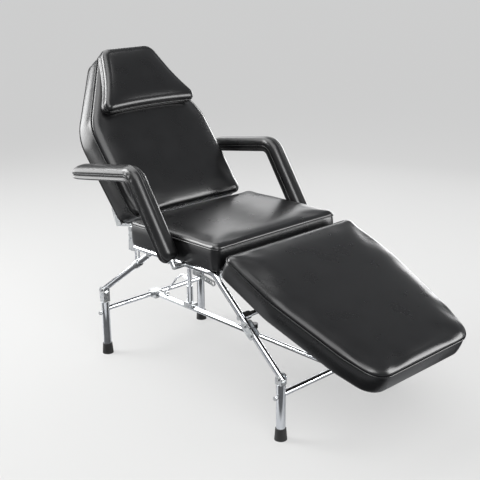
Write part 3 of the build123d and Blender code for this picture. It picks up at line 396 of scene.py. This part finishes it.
def grid_faces(rows, cols, start=0, wrap=False, flip=False):
    """Quads between neighbouring rows of a point grid; wrap joins the last column to the first."""
    ids = start + np.arange(rows * cols).reshape(rows, cols)
    nxt = np.roll(ids, -1, axis=1) if wrap else ids[:, 1:]
    here = ids if wrap else ids[:, :-1]
    quads = np.stack([here[:-1], here[1:], nxt[1:], nxt[:-1]], axis=-1).reshape(-1, 4)
    return quads[:, ::-1] if flip else quads


print("quads in a 3 by 4 grid:", len(grid_faces(3, 4)), "and when it wraps:",
      len(grid_faces(3, 4, wrap=True)))

# %% [markdown]
# Each section is drawn flat, with its width across, its length along and its foam upwards, and
# is then laid on its board. A plane holds the place of its first edge and its three
# directions. The backrest leans by 52.3 degrees and the footrest falls by 24, as in the
# photograph.

# %% Planes of the sections
def laid(points, plane):
    """Points in a section's own axes (across, along, up) to the chair's axes, in millimetres."""
    origin, across, along, up = (np.array(v, float) for v in plane)
    p = np.asarray(points, float)
    return origin + p[..., :1] * across + p[..., 1:2] * along + p[..., 2:3] * up


SHIFT = 75.51  # the seat's middle stands this far behind the middle of the whole chair
BACK, FOOT = math.radians(52.3), math.radians(24.0)
BACK_HINGE, FOOT_HINGE = (231, 520), (-214, 466)  # from the seat's middle, and from the floor
SEAT_PLANE = ((0, SHIFT, 0), (1, 0, 0), (0, 1, 0), (0, 0, 1))
BACK_PLANE = ((0, BACK_HINGE[0] + SHIFT, BACK_HINGE[1]), (1, 0, 0),
              (0, math.cos(BACK), math.sin(BACK)), (0, -math.sin(BACK), math.cos(BACK)))
FOOT_PLANE = ((0, FOOT_HINGE[0] + SHIFT, FOOT_HINGE[1]), (-1, 0, 0),
              (0, -math.cos(FOOT), -math.sin(FOOT)), (0, -math.sin(FOOT), math.cos(FOOT)))
print("backrest hinge in mm:", laid([0, 0, 0], BACK_PLANE).round(1).tolist())

# %% [markdown]
# A section's cover has five bands. The face panel is crowned by the foam and rolls over the
# edge. A piped seam joins it to the border, which stands nearly straight, and the border turns
# in under the board as a hem. Modelling that as one grid keeps the seams as clean rows of
# points. A box with bevelled edges would have none of these lines.

# %% Rows of a cover
SEAM_PINCH, SEAM_STEP, BORDER_STEP = 2.2, 1.5, 8.0
LIP_IN, LIP_UP = 0.8, 4.0  # the cut edge of the hem is turned up behind the board


def cover_rows(face, hem, roll, roll_in, border_bulge, hem_roll, hem_width):
    """Rows of (inset, height): a quarter ellipse, roll high and roll_in wide, a pinched seam, a
    border that bows out by a half sine, a small round, and the hem's flat strip."""
    turn = np.radians(np.linspace(0, 90, 8))
    rows = [(roll_in * (1 - math.sin(t)), face - roll * (1 - math.cos(t))) for t in turn]
    rows.append((SEAM_PINCH * 0.6, face - roll - SEAM_STEP))
    seam = len(rows)
    seam_height = face - roll - 2 * SEAM_STEP
    rows.append((SEAM_PINCH, seam_height))
    low = hem + hem_roll
    count = max(int(round((seam_height - low) / BORDER_STEP)), 3)
    for t in np.arange(1, count + 1) / count:
        inset = SEAM_PINCH * (1 - t) ** 3 - border_bulge * math.sin(math.pi * t) ** 0.8
        rows.append((inset, seam_height + (low - seam_height) * t))
    lowest = len(rows) - 1
    for t in np.radians([30, 60, 90]):
        rows.append((hem_roll * (1 - math.cos(t)), low - hem_roll * math.sin(t)))
    rows.append((hem_roll + hem_width * 0.5, hem))
    rows.append((hem_roll + hem_width, hem))
    rows.append((hem_roll + hem_width + LIP_IN, hem + LIP_UP))
    return np.array(rows), seam, lowest


print("cover rows for an 82 mm pad:", len(cover_rows(82, 0, 12, 16, 2.5, 5, 24)[0]))

# %% [markdown]
# The rows are now carried round the outline, and the face and the underside are closed with
# the grid from before. On the real pad the foam is thickest in the middle, so the face gets a
# crown. The whole cover is one closed mesh, whose faces point outwards.

# %% Closed cover
def cover(front, rear, radii, rows, face, hem, crown, step, least):
    """Points, faces and border rows of a closed cover. Each row is the outline at its inset,
    between the rear outline at the hem and the front outline at the face. The crown rises as
    crown x (1 - |u| ^ 4) x (1 - |v| ^ 4), with u and v running from -1 to 1 over the face."""
    front, rear = np.array(front, float), np.array(rear, float)
    size = np.ptp(front, axis=0)
    across, along = (int(2 * round(v / step / 2)) for v in size)
    half = len(front) // 2
    loops = []
    for inset, height in rows:
        share = min(max((height - hem) / (face - hem), 0), 1)
        line, middle = outline(rear + share * (front - rear), radii, inset, least)
        marks = [middle[0], middle[half - 1], middle[half], middle[-1]]
        loop = four_sides(line, marks, across, along)
        loops.append(np.column_stack([loop, np.full(len(loop), height)]))
    top = patch(loops[0], across, along)
    flat = top.reshape(-1, 3)
    u = np.abs(np.linspace(-1, 1, across + 1))[:, None]
    v = np.abs(np.linspace(-1, 1, along + 1))[None, :]
    flat[:, 2] += (crown * (1 - u ** 4) * (1 - v ** 4)).ravel()
    under = patch(loops[-1], across, along).reshape(-1, 3)
    grid = np.arange(len(flat)).reshape(across + 1, along + 1)
    rim = np.concatenate([grid[-1, :-1], grid[::-1, -1][:-1], grid[0, ::-1][:-1], grid[:-1, 0]])
    walls = np.vstack(loops[1:-1])
    under_start = len(flat) + len(walls)
    wall_ids = len(flat) + np.arange(len(walls)).reshape(-1, len(rim))
    ids = np.vstack([rim, wall_ids, rim + under_start])
    nxt = np.roll(ids, -1, axis=1)
    quads = np.stack([ids[:-1], ids[1:], nxt[1:], nxt[:-1]], axis=-1)
    faces = np.vstack([grid_faces(across + 1, along + 1), quads.reshape(-1, 4),
                       grid_faces(across + 1, along + 1, under_start, flip=True)])
    return np.vstack([flat, walls, under]), faces, ids


sample_rows = cover_rows(82, 0, 12, 16, 2.5, 5, 24)[0]
sample = cover(SQUARE, SQUARE, [20] * 4, sample_rows, 82, 0, crown=5, step=5, least=4)
print("points and faces of a cover for that square:", len(sample[0]), len(sample[1]))

# %% [markdown]
# Foam pushes the sewn cover outwards, and the cover answers with its own tension, so real pads
# swell between their seams. A cloth simulation gives that: the seam and the hem are held, and
# air pressure stands for the foam. The cover's numbers are those of stretched vinyl: light,
# stiff in its own plane and not easily folded. The travel of each point is capped, so a pad
# keeps its size, and is then ironed, because stretched vinyl keeps no fine folds. The border
# of a real pad has a strip of felt behind it, so it moves less than the face.

# %% Let the foam swell a cover
CLOTH_FRAMES, FOAM_PRESSURE, BORDER_SHARE = 20, 4.0, 0.25


def ironed(mesh, field, rounds):
    """Average a value per vertex with its neighbours, as often as given: half of the vertex's
    own value plus half of the mean of the vertices that share an edge with it."""
    ends = np.empty(len(mesh.edges) * 2, dtype=np.int64)
    mesh.edges.foreach_get("vertices", ends)
    ends = ends.reshape(-1, 2)
    degree = np.bincount(ends.ravel(), minlength=len(field))[:, None]
    for _ in range(rounds):
        total = np.zeros_like(field)
        np.add.at(total, ends[:, 0], field[ends[:, 1]])
        np.add.at(total, ends[:, 1], field[ends[:, 0]])
        field = 0.5 * field + 0.5 * total / degree
    return field


def swell(obj, held, border, cap_mm, taut):
    """Cloth with pressure and no gravity for 20 frames; each point's travel d becomes
    cap x tanh(d / cap) along its own direction, and is then ironed taut times. The border
    keeps a quarter of its travel. Returns the largest free travel in millimetres."""
    mesh = obj.data
    rest = np.empty(len(mesh.vertices) * 3)
    mesh.vertices.foreach_get("co", rest)
    group = obj.vertex_groups.new(name="held")
    group.add([int(i) for i in held], 1.0, "REPLACE")
    cloth = obj.modifiers.new("foam", "CLOTH")
    settings = cloth.settings
    settings.quality = 5
    settings.mass = 0.35
    settings.tension_stiffness = settings.compression_stiffness = 40
    settings.shear_stiffness = 25
    settings.bending_stiffness = 12.0
    settings.use_pressure = True
    settings.uniform_pressure_force = FOAM_PRESSURE
    settings.vertex_group_mass = "held"
    settings.effector_weights.gravity = 0.0
    cloth.point_cache.frame_start, cloth.point_cache.frame_end = 1, CLOTH_FRAMES
    for frame_number in range(1, CLOTH_FRAMES + 1):
        bpy.context.scene.frame_set(frame_number)
    shown = obj.evaluated_get(bpy.context.evaluated_depsgraph_get())
    moved = np.empty_like(rest)
    shown.to_mesh().vertices.foreach_get("co", moved)
    shown.to_mesh_clear()
    obj.modifiers.remove(cloth)
    obj.vertex_groups.remove(group)
    bpy.context.scene.frame_set(1)
    travel = (moved - rest).reshape(-1, 3)
    size = np.linalg.norm(travel, axis=1, keepdims=True)
    cap = cap_mm * MM
    scale = cap * np.tanh(size / cap) / np.maximum(size, 1e-9)
    travel = ironed(mesh, travel * scale, taut)
    travel[border] *= BORDER_SHARE
    travel[held] = 0.0
    mesh.vertices.foreach_set("co", (rest.reshape(-1, 3) + travel).ravel())
    mesh.update()
    return float(size.max() / MM)


print("frames of cloth for each pad:", CLOTH_FRAMES)

# %% [markdown]
# Piping is a thin cord sewn into the seam under the same vinyl. It is swept along the seam's
# own points: at each one a small circle stands square to the seam, so the two never part.

# %% Piping along a seam
def eased(loop):
    """Cubic subdivision of a closed line, the rule that rounds the cover beside it: each point
    becomes (before + 6 x here + after) / 8, and the middle of each step is added."""
    moved = (np.roll(loop, 1, axis=0) + 6 * loop + np.roll(loop, -1, axis=0)) / 8
    middle = (loop + np.roll(loop, -1, axis=0)) / 2
    return np.stack([moved, middle], axis=1).reshape(-1, loop.shape[1])


def piping(name, seam, up, radius, body, lift, sides=8):
    """Circle carried along a closed seam: point + r (cos a x sideways + sin a x above), where
    sideways is the seam's direction crossed with up, and above is sideways crossed with that
    direction. lift moves the cord outwards. Prints the cord's length."""
    path, up = eased(eased(seam)), eased(eased(up))
    ahead = np.roll(path, -1, axis=0) - np.roll(path, 1, axis=0)
    ahead /= np.linalg.norm(ahead, axis=1, keepdims=True)
    sideways = np.cross(ahead, up)
    sideways /= np.linalg.norm(sideways, axis=1, keepdims=True)
    above = np.cross(sideways, ahead)
    a = np.linspace(0, 2 * np.pi, sides, endpoint=False)[None, :, None]
    centre = path + lift * sideways
    steps = np.linalg.norm(centre - np.roll(centre, 1, axis=0), axis=1)
    print(name, "cord length mm", round(float(steps.sum())))
    around = np.cos(a) * sideways[:, None] + np.sin(a) * above[:, None]
    points = centre[:, None] + radius * around
    ids = np.arange(len(path) * sides).reshape(len(path), sides)
    nxt = np.roll(ids, -1, axis=0)
    faces = np.stack([ids, nxt, np.roll(nxt, -1, axis=1), np.roll(ids, -1, axis=1)], axis=-1)
    piece(name, points.reshape(-1, 3), faces.reshape(-1, 4), PIPING, body)


print("points of a square after one round of easing:", len(eased(np.array(SQUARE, float))))

# %% [markdown]
# All six pads are made in the same order as on the bench: the cover is sewn, the foam swells
# it, the cord lies in its seam, and the rows between are rounded. So one function does all of
# them, and what differs from pad to pad is given by name.

# %% Upholster one pad
REAR_CORD, REAR_LIFT = 1.9, 0.6


def upholster(name, node, body, plane, front, radii, face, hem, rear=None, roll=12.0,
              roll_in=None, crown=5.0, bulge=2.0, hem_roll=6.0, hem_width=24.0, cap=6.0, taut=24,
              step=8.0, least=15.0, cord=2.3, rear_piping=False, place=laid):
    """Rows and cover, laid in place; cloth travel added; cords along the moved seam; then one
    level of Catmull-Clark subdivision, which rounds the rows. Sizes are in millimetres."""
    rows, seam, lowest = cover_rows(face, hem, roll, roll_in or roll, bulge, hem_roll, hem_width)
    points, faces, ids = cover(front, rear or front, radii, rows, face, hem, crown, step, least)
    obj = piece(name, place(points, plane), faces, VINYL, body, (node,))
    under = np.arange(ids[-1].min(), len(points))
    held = np.unique(np.concatenate([ids[seam], ids[lowest:].ravel(), under]))
    travel = swell(obj, held, ids[seam:lowest].ravel(), cap, taut)
    now = np.empty(len(points) * 3)
    obj.data.vertices.foreach_get("co", now)
    now = now.reshape(-1, 3) / MM
    ups = place(points + np.array([0, 0, 1.0]), plane) - place(points, plane)
    piping(f"{name}_piping", now[ids[seam]], ups[ids[seam]], cord, body, lift=cord)
    if rear_piping:
        piping(f"{name}_rear_piping", now[ids[lowest]], ups[ids[lowest]], REAR_CORD, body,
               lift=REAR_LIFT)
    rounding = obj.modifiers.new("rounding", "SUBSURF")
    rounding.levels = rounding.render_levels = 1
    print(name, "faces", len(faces), "largest cloth travel mm", round(travel, 1))


print("soft solids that wait for a cover:", [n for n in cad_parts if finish_for(n) is VINYL])

# %% [markdown]
# The seat is the plainest section: a rectangle with tight corners, 74 mm of foam on a 12 mm
# board. In the photograph its face rolls over the front edge, the seam runs about 15 mm
# below, and the border is flat and nearly vertical. A bevelled box would have the outline, but
# neither the crown nor the seam.

# %% Seat
SEAT = mirror_x([(280, -210), (280, 210)])
SEAT_FACE, SEAT_HEM = 562, 475.2  # heights above the floor
upholster("seat_cover", "seat_cushion", "frame", SEAT_PLANE, SEAT, [24] * 4, SEAT_FACE, SEAT_HEM,
          roll=13.0, roll_in=18.0, crown=6.0, cap=3.5, step=6.0)

# %% [markdown]
# The backrest widens to its shoulders and narrows to the top. Its border flares towards the
# rear there, so the rear outline is wider than the front one. A second cord runs along the
# rear edge of the border.

# %% Backrest
BACK_FRONT = mirror_x([(250, 24), (250, 369.5), (80, 640.5)])
BACK_REAR = mirror_x([(255, 35), (266, 369.5), (80, 640.5)])
BACK_RADII = [30, 180, 56, 56, 180, 30]
BACK_FACE, BACK_HEM = 48, -44.8  # heights above the backrest's own plane
upholster("backrest_cover", "back_cushion", "backrest", BACK_PLANE, BACK_FRONT, BACK_RADII,
          BACK_FACE, BACK_HEM, rear=BACK_REAR, roll=16.0, roll_in=21.0, crown=7.0,
          rear_piping=True)

# %% [markdown]
# The footrest is the widest section. Its sides run nearly parallel and then bend in to a
# toe end with broad round corners. Large radii at the bends keep the seam one easy curve.

# %% Footrest
FOOT_FRONT = mirror_x([(290, 8), (297, 228), (262, 488), (226, 612)])
FOOT_RADII = [24, 260, 200, 72, 72, 200, 260, 24]
FOOT_FACE, FOOT_HEM = 96, 13.2
upholster("footrest_cover", "foot_cushion", "footrest", FOOT_PLANE, FOOT_FRONT, FOOT_RADII,
          FOOT_FACE, FOOT_HEM, roll=14.0, roll_in=22.0, crown=7.0, hem_roll=10.0)

# %% [markdown]
# The headrest pillow is a small trapezoid held by a strap. It is stuffed fuller than the
# sections, so its sides draw in between the corners. Its outline stays straight, which keeps
# the corners crisp, and the whole pillow is bowed as it is laid on the backrest.

# %% Headrest pillow
PILLOW_LOW, PILLOW_HEIGHT, PILLOW_BASE, PILLOW_DEPTH = 390.5, 236, 58.6, 42
WAIST, EDGE_LIFT, EDGE_HALF = 0.08, 7, 206


def bowed(points, plane):
    """Width x (1 - 8 % x sin of the way up), and a lower edge that is lifted by 7 mm x
    (1 - (x / 206) ^ 2), which fades up the pillow as exp(-5 x the way up)."""
    p = np.array(points, float)
    share = np.clip((p[:, 1] - PILLOW_LOW) / PILLOW_HEIGHT, 0, 1)
    p[:, 0] *= 1 - WAIST * np.sin(np.pi * share)
    arch = np.clip(1 - (p[:, 0] / EDGE_HALF) ** 2, 0, 1)
    p[:, 1] += EDGE_LIFT * arch * np.exp(-share * 5)
    return laid(p, plane)


PILLOW = mirror_x([(218, PILLOW_LOW), (108, PILLOW_LOW + PILLOW_HEIGHT)])
upholster("headrest_cover", "headrest_pillow", "headrest", BACK_PLANE, PILLOW, [28, 48, 48, 28],
          PILLOW_BASE + PILLOW_DEPTH, PILLOW_BASE, roll=17.0, roll_in=22.0, crown=9.0, bulge=1.0,
          hem_width=10.0, cap=5.0, step=6.0, place=bowed, cord=1.8)

# %% [markdown]
# The pillow hangs on a flat elastic strap that goes over the top edge of the backrest and down
# behind it, where hook-and-loop tape holds it. Seen from the side its path is three straights
# and two bends.

# %% Path of the headrest strap
def bevelled_path(corners, radius, steps=14):
    """Polyline with each inner corner replaced by an arc of the given radius, whose middle lies
    on the corner's bisector at radius / sin(half the angle)."""
    c = np.array(corners, float)
    result = [c[:1]]
    for before, here, after in zip(c[:-2], c[1:-1], c[2:]):
        a = (before - here) / np.linalg.norm(before - here)
        b = (after - here) / np.linalg.norm(after - here)
        half = math.acos(np.clip(a @ b, -1, 1)) / 2
        reach = radius / math.tan(half)
        centre = here + (a + b) / np.linalg.norm(a + b) * radius / math.sin(half)
        first, last = here + a * reach - centre, here + b * reach - centre
        t = np.linspace(0, 1, steps)[:, None]
        blend = first * (1 - t) + last * t
        result.append(centre + radius * blend / np.linalg.norm(blend, axis=1, keepdims=True))
    result.append(c[-1:])
    return np.vstack(result)


def even_steps(path, step):
    """Points along a polyline at even distances, its ends included."""
    length = np.concatenate([[0], np.cumsum(np.linalg.norm(np.diff(path, axis=0), axis=1))])
    at = np.linspace(0, length[-1], max(int(round(length[-1] / step)), 2) + 1)
    return np.stack([np.interp(at, length, path[:, k]) for k in range(path.shape[1])], axis=1), at


STRAP_TOP, STRAP_HIGH, STRAP_LOW = 641.8, 57.3, -45.3
STRAP_FRONT, STRAP_REAR, STRAP_BEND = 190, 170, 16.0
strap_path = bevelled_path([(STRAP_TOP - STRAP_FRONT, STRAP_HIGH), (STRAP_TOP, STRAP_HIGH),
                            (STRAP_TOP, STRAP_LOW), (STRAP_TOP - STRAP_REAR, STRAP_LOW)],
                           STRAP_BEND)
print("strap length mm:", round(float(even_steps(strap_path, 4.0)[1][-1])))

# %% [markdown]
# Webbing keeps its flat section everywhere, so the strap is a thin rounded band swept along
# that path. Its UV map holds true lengths, so the weave neither stretches nor slides.

# %% Headrest strap
END_SHARE = 0.35  # the cut ends are pressed to about a third of the thickness


def band(name, path, width, thickness, plane, finish, body, node, weave_step=4.0):
    """Flat band in the (along, up) plane of a section: path + half the thickness x
    sqrt(1 - |2 u| ^ 12) along the normal, on both sides, with u from -0.5 to 0.5 across. The
    two thin end rows are closed by a ladder of quads."""
    line, at = even_steps(path, weave_step)
    ahead = np.gradient(line, axis=0)
    ahead /= np.linalg.norm(ahead, axis=1, keepdims=True)
    normal = np.stack([-ahead[:, 1], ahead[:, 0]], axis=1)
    across = np.linspace(-0.5, 0.5, 9)
    half = thickness / 2 * np.sqrt(np.clip(1 - (np.abs(across) * 2) ** 12, 0, 1))
    loop_x = np.concatenate([across, across[-2:0:-1]]) * width
    loop_h = np.concatenate([half, -half[-2:0:-1]])
    ends = np.ones(len(line))
    ends[[0, -1]] = END_SHARE
    p = np.empty((len(line), len(loop_x), 3))
    p[..., 0] = loop_x
    p[..., 1] = line[:, :1] + normal[:, :1] * loop_h * ends[:, None]
    p[..., 2] = line[:, 1:] + normal[:, 1:] * loop_h * ends[:, None]
    count = len(loop_x)
    walls = grid_faces(len(line), count, wrap=True, flip=True)
    k = np.arange(count // 2 - 1)
    cap = np.stack([k, k + 1, count - 2 - k, count - 1 - k], axis=-1)
    faces = np.vstack([walls, cap[:, ::-1], cap + (len(line) - 1) * count])
    obj = piece(name, laid(p.reshape(-1, 3), plane), faces, finish, body, (node,))
    layer = obj.data.uv_layers.new(name="cloth")
    index = np.empty(len(obj.data.loops), dtype=np.int64)
    obj.data.loops.foreach_get("vertex_index", index)
    uv = np.stack(np.broadcast_arrays(loop_x, at[:, None]), axis=-1).reshape(-1, 2) * MM
    layer.data.foreach_set("uv", uv[index].ravel())
    return obj


STRAP_WIDTH, STRAP_THICKNESS = 38.0, 1.8
strap = band("headrest_webbing", strap_path, STRAP_WIDTH, STRAP_THICKNESS, BACK_PLANE, WEBBING,
             "headrest", "headrest_strap")
print("strap faces:", len(strap.data.polygons))

# %% [markdown]
# An armrest is one long pad on a flat steel that is bent once. It climbs steeply beside the
# seat, turns, and falls slightly to its free end. Seen from the side, the steel is two
# straights and an arc, so the heading at any distance along it gives every point by adding up
# small steps.

# %% Centre line of an armrest
ARM_FOOT = (-42.0 + SHIFT, 484.0)  # y and z of the steel's lower end
ARM_SLOPE, ARM_FALL = 57.0, 8.0  # degrees up beside the seat, and down to the free end
ARM_KNEE_Z, ARM_REST, ARM_BEND = 737.0, 312.0, 46.0  # bend's height, rest's length, radius
RUN_OUT = 40  # the line goes on past both ends, because the cover is longer than the steel


def arm_line():
    """Heading = slope less (distance past the first straight) / radius, never below the
    fall; y and z are the running sums of step x cos and step x sin of the heading. Returns
    distances, y, z, headings, the line's length and the distance of the bend's middle."""
    up, down = np.radians(ARM_SLOPE), np.radians(-ARM_FALL)
    turn = up - down
    rise = (ARM_KNEE_Z - ARM_FOOT[1]) / math.sin(up)
    cut = ARM_BEND * math.tan(turn / 2)
    along = np.concatenate([
        np.linspace(-RUN_OUT, rise - cut, 60),
        np.linspace(0, 1, 40)[1:] * ARM_BEND * turn + rise - cut,
        np.linspace(0, ARM_REST - cut + RUN_OUT, 60)[1:] + rise - cut + ARM_BEND * turn])
    heading = up - np.clip((along - (rise - cut)) / ARM_BEND, 0, turn)
    step = np.diff(along)
    middle = (heading[1:] + heading[:-1]) / 2
    run_y, run_z = np.cumsum(step * np.cos(middle)), np.cumsum(step * np.sin(middle))
    y = np.concatenate([[0], run_y]) + ARM_FOOT[0] - RUN_OUT * math.cos(up)
    z = np.concatenate([[0], run_z]) + ARM_FOOT[1] - RUN_OUT * math.sin(up)
    length = rise - 2 * cut + ARM_BEND * turn + ARM_REST
    return along, y, z, heading, length, rise - cut + ARM_BEND * turn / 2


ARM_LENGTH = arm_line()[4]
print("armrest steel length mm:", round(ARM_LENGTH))

# %% [markdown]
# The outer side of the pad is a dome, the seam runs at a little over half the depth, and a
# narrower flat panel closes the inside. The pad is made straight, as a strip with round ends,
# and then laid along the steel. The free end thins to a soft wedge, as in the photograph, and
# the vinyl gathers into three small pleats in the bend.

# %% Armrests
ARM_SEAM, ARM_WEDGE, WEDGE_BELOW = -3.0, 66.0, 0.45
ARM_TIP = ARM_LENGTH + 8
PLEATS_AT, PLEAT_WIDTH, PLEAT_DEPTH = (-15, 0, 15), 4.0, 0.04
PLEAT_ABOVE_SEAM, PLEAT_BAND = 9, 6


def bent(points, plane):
    """Lay a straight pad along the arm: its length follows the centre line and its height
    follows the line's normal. Pleats are bell curves that draw the sides in by 4 %. Towards
    the free end the height above the seam falls as a quarter ellipse to nothing, and the
    height below it to 45 %."""
    middle_x = plane[0][0]
    along, y, z, heading, length, bend_at = arm_line()
    p = np.asarray(points, float)
    s, h = p[:, 1], p[:, 2]
    near_end = np.clip((ARM_TIP - s) / ARM_WEDGE, 0, 1)
    full = np.sqrt(1 - (1 - near_end) ** 2)
    over = h - ARM_SEAM
    h = ARM_SEAM + over * np.where(over > 0, full, WEDGE_BELOW + (1 - WEDGE_BELOW) * full)
    angle = np.interp(s, along, heading)
    folds = sum(np.exp(-((s - bend_at - at) / PLEAT_WIDTH) ** 2) for at in PLEATS_AT)
    fade = np.exp(-((h - ARM_SEAM - PLEAT_ABOVE_SEAM) / PLEAT_BAND) ** 2)
    x = p[:, 0] * (1 - PLEAT_DEPTH * folds * fade)
    return np.column_stack([middle_x + x, np.interp(s, along, y) - h * np.sin(angle),
                            np.interp(s, along, z) + h * np.cos(angle)])


ARM_OUTLINE = mirror_x([(30, 0), (30, ARM_TIP)])
ARM_FACE, ARM_HEM = 26.0, -23.0  # above and below the steel
for side_name, side_x in (("left", 314.0), ("right", -314.0)):
    upholster(f"arm_cover_{side_name}", f"arm_pad_{side_name}", f"armrest_{side_name}",
              ((side_x, 0, 0),), ARM_OUTLINE, [27] * 4, ARM_FACE, ARM_HEM, roll=26.0,
              roll_in=26.0, crown=1.5, bulge=-3.0, hem_roll=5.0, hem_width=5.0, cap=1.5, taut=8,
              step=4.0, least=4.0, cord=1.6, place=bent)

# %% [markdown]
# The picture is taken with a portrait lens from the front and the chair's right side, a little
# above the pads. The camera's place, aim and lens were worked out from where the feet and the
# corners of the pads fall in the photograph, so the model lines up with it. The shift only
# frames the chair.

# %% Camera
def aim(thing, place, target):
    """Turn a camera or a lamp so that its -Z axis runs from its place to the target, with its
    Y axis upwards."""
    thing.location = place
    thing.rotation_euler = (Vector(target) - Vector(place)).to_track_quat("-Z", "Y").to_euler()


AZIMUTH, ELEVATION, DISTANCE = math.radians(-46.1), math.radians(19.7), 3.5
TARGET = (0.1765, 0.07551, 0.285)
FRAME_PX, FOCAL_PX, CENTRE_PX = 480.0, 980.7, (270.5, 279.7)  # the photograph's own pixels
backwards = (math.sin(AZIMUTH) * math.cos(ELEVATION), -math.cos(AZIMUTH) * math.cos(ELEVATION),
             math.sin(ELEVATION))
lens = bpy.data.cameras.new("portrait_lens")
lens.sensor_width = 36.0
lens.lens = FOCAL_PX / FRAME_PX * lens.sensor_width
lens.sensor_fit = "HORIZONTAL"
lens.shift_x = -(CENTRE_PX[0] - FRAME_PX / 2) / FRAME_PX
lens.shift_y = (CENTRE_PX[1] - FRAME_PX / 2) / FRAME_PX
camera = bpy.data.objects.new("camera", lens)
bpy.context.scene.collection.objects.link(camera)
aim(camera, tuple(t + DISTANCE * b for t, b in zip(TARGET, backwards)), TARGET)
bpy.context.scene.camera = camera
print("camera at", [round(v, 3) for v in camera.location])

# %% [markdown]
# The studio has one flat floor that runs out of the picture. Its paint is a middle grey, which
# keeps it from throwing light up at the pads, and a light of its own, for the camera's rays
# alone, makes it pale and even. Chrome shows only what it mirrors, and in a blank room it
# would be flat grey. So for mirrored rays alone the floor carries a painted reflection: broad
# painted pools of light and shade that no lamp casts.

# %% Floor
FLOOR_HALF, PAINTED_POOL_SPACING = 60.0, 0.55  # metres
CAMERA_LIGHT = 0.47

floor_mesh = bpy.data.meshes.new("floor")
corners = [(x * FLOOR_HALF, y * FLOOR_HALF, 0) for x, y in ((-1, -1), (1, -1), (1, 1), (-1, 1))]
floor_mesh.from_pydata(corners, [], [(0, 1, 2, 3)])
floor = bpy.data.objects.new("floor", floor_mesh)
bpy.context.scene.collection.objects.link(floor)
paint, paint_tree, paint_shader = new_finish("pale_studio_floor", Roughness=0.8)
seen = add(paint_tree, "ShaderNodeLightPath")
ground = add(paint_tree, "ShaderNodeTexCoord").outputs["Object"]
# painted reflection: light and dark pools, seen only by mirrored rays, stand in for studio lamps
# in the chrome
painted_light_pools = add(paint_tree, "ShaderNodeTexWave", {"bands_direction": "DIAGONAL"},
            {"Scale": WAVE_PERIOD / PAINTED_POOL_SPACING, "Distortion": 1.5, "Detail": 1.0},
            {"Vector": ground})
painted_reflection = ramp(paint_tree, painted_light_pools.outputs["Fac"],
                [(0.3, linear("#2a2b2d")), (0.62, linear("#9a9b9d"))])
shade = add(paint_tree, "ShaderNodeMix", {"data_type": "RGBA"}, {6: linear("#686867")},
            {0: seen.outputs["Is Glossy Ray"], 7: painted_reflection})
paint_tree.links.new(shade.outputs[2], paint_shader.inputs["Base Color"])
even = add(paint_tree, "ShaderNodeMath", {"operation": "MULTIPLY"}, {1: CAMERA_LIGHT},
           {0: seen.outputs["Is Camera Ray"]})
paint_shader.inputs["Emission Color"].default_value = linear("#ffffff")
paint_tree.links.new(even.outputs["Value"], paint_shader.inputs["Emission Strength"])
floor_mesh.materials.append(paint)
print("floor corners:", corners)

# %% [markdown]
# Black vinyl shows little but what it reflects, so the lamps are wide panels that stand where
# the photograph's highlights ask for them. A soft sun carries the plain daylight. The camera
# doesn't see the panels, and their spread is limited, so that they draw no edges of light on
# the floor.

# %% Sun and lamps
LAMPS = {  # place, target and size in metres, then power in watts and spread in degrees
    "left_box": ((-1.4, 3.2, 1.0), (0, 0.3, 0.75), (3.6, 1.3), 50, 130),
    "left_high_box": ((-1.8, 2.4, 2.5), (-0.3, 0.3, 0.75), (1.5, 1.5), 62, 130),
    "front_box": ((2.3, -2.7, 1.0), (0, -0.2, 0.45), (1.8, 1.7), 46, 130),
    "key_box": ((-1.3, -2.6, 2.4), (0, 0.0, 0.6), (1.8, 1.5), 30, 130),
    "top_box": ((0.0, 1.6, 3.2), (0, 0.4, 0.6), (2.6, 2.8), 42, 130),
    "rear_box": ((2.2, 2.8, 1.9), (0, 0.1, 0.6), (2.0, 1.4), 9, 130),
    "far_box": ((3.4, 1.3, 0.8), (0, 0, 0.6), (2.0, 1.2), 7, 70),
}


def soft_lamp(name, place, target, size, power, spread):
    """Area lamp that looks from its place to the target, with its light kept within the
    spread; the camera doesn't see its panel."""
    data = bpy.data.lights.new(name, "AREA")
    data.shape = "RECTANGLE"
    data.size, data.size_y = size
    data.energy = power
    data.spread = math.radians(spread)
    lamp = bpy.data.objects.new(name, data)
    lamp.visible_camera = False
    bpy.context.scene.collection.objects.link(lamp)
    aim(lamp, place, target)


sun = bpy.data.lights.new("soft_sun", "SUN")
sun.energy, sun.angle = 1.9, math.radians(50)
sun_lamp = bpy.data.objects.new("soft_sun", sun)
bpy.context.scene.collection.objects.link(sun_lamp)
aim(sun_lamp, (-1.6, -1.4, 3.6), (0, 0, 0))
for lamp_name, settings in LAMPS.items():
    soft_lamp(lamp_name, *settings)
print("lamps:", ", ".join(LAMPS), "and the sun")

# %% [markdown]
# The world is the room round the studio. It fills the shadows a little, and only the camera
# sees it at the full tone of the background, so the pale backdrop doesn't wash out the vinyl.

# %% World
FILL, BACKDROP = 0.42, 0.85

world = bpy.data.worlds.new("soft_room")
bpy.context.scene.world = world
world.use_nodes = True
sky = world.node_tree.nodes["Background"]
sky.inputs["Color"].default_value = linear("#dfe1e4")
eye = add(world.node_tree, "ShaderNodeLightPath").outputs["Is Camera Ray"]
strength = add(world.node_tree, "ShaderNodeMapRange", inputs={"To Min": FILL, "To Max": BACKDROP},
               links={"Value": eye})
world.node_tree.links.new(strength.outputs["Result"], sky.inputs["Strength"])
bpy.context.scene.view_settings.view_transform = "Standard"
print("view transform:", bpy.context.scene.view_settings.view_transform)
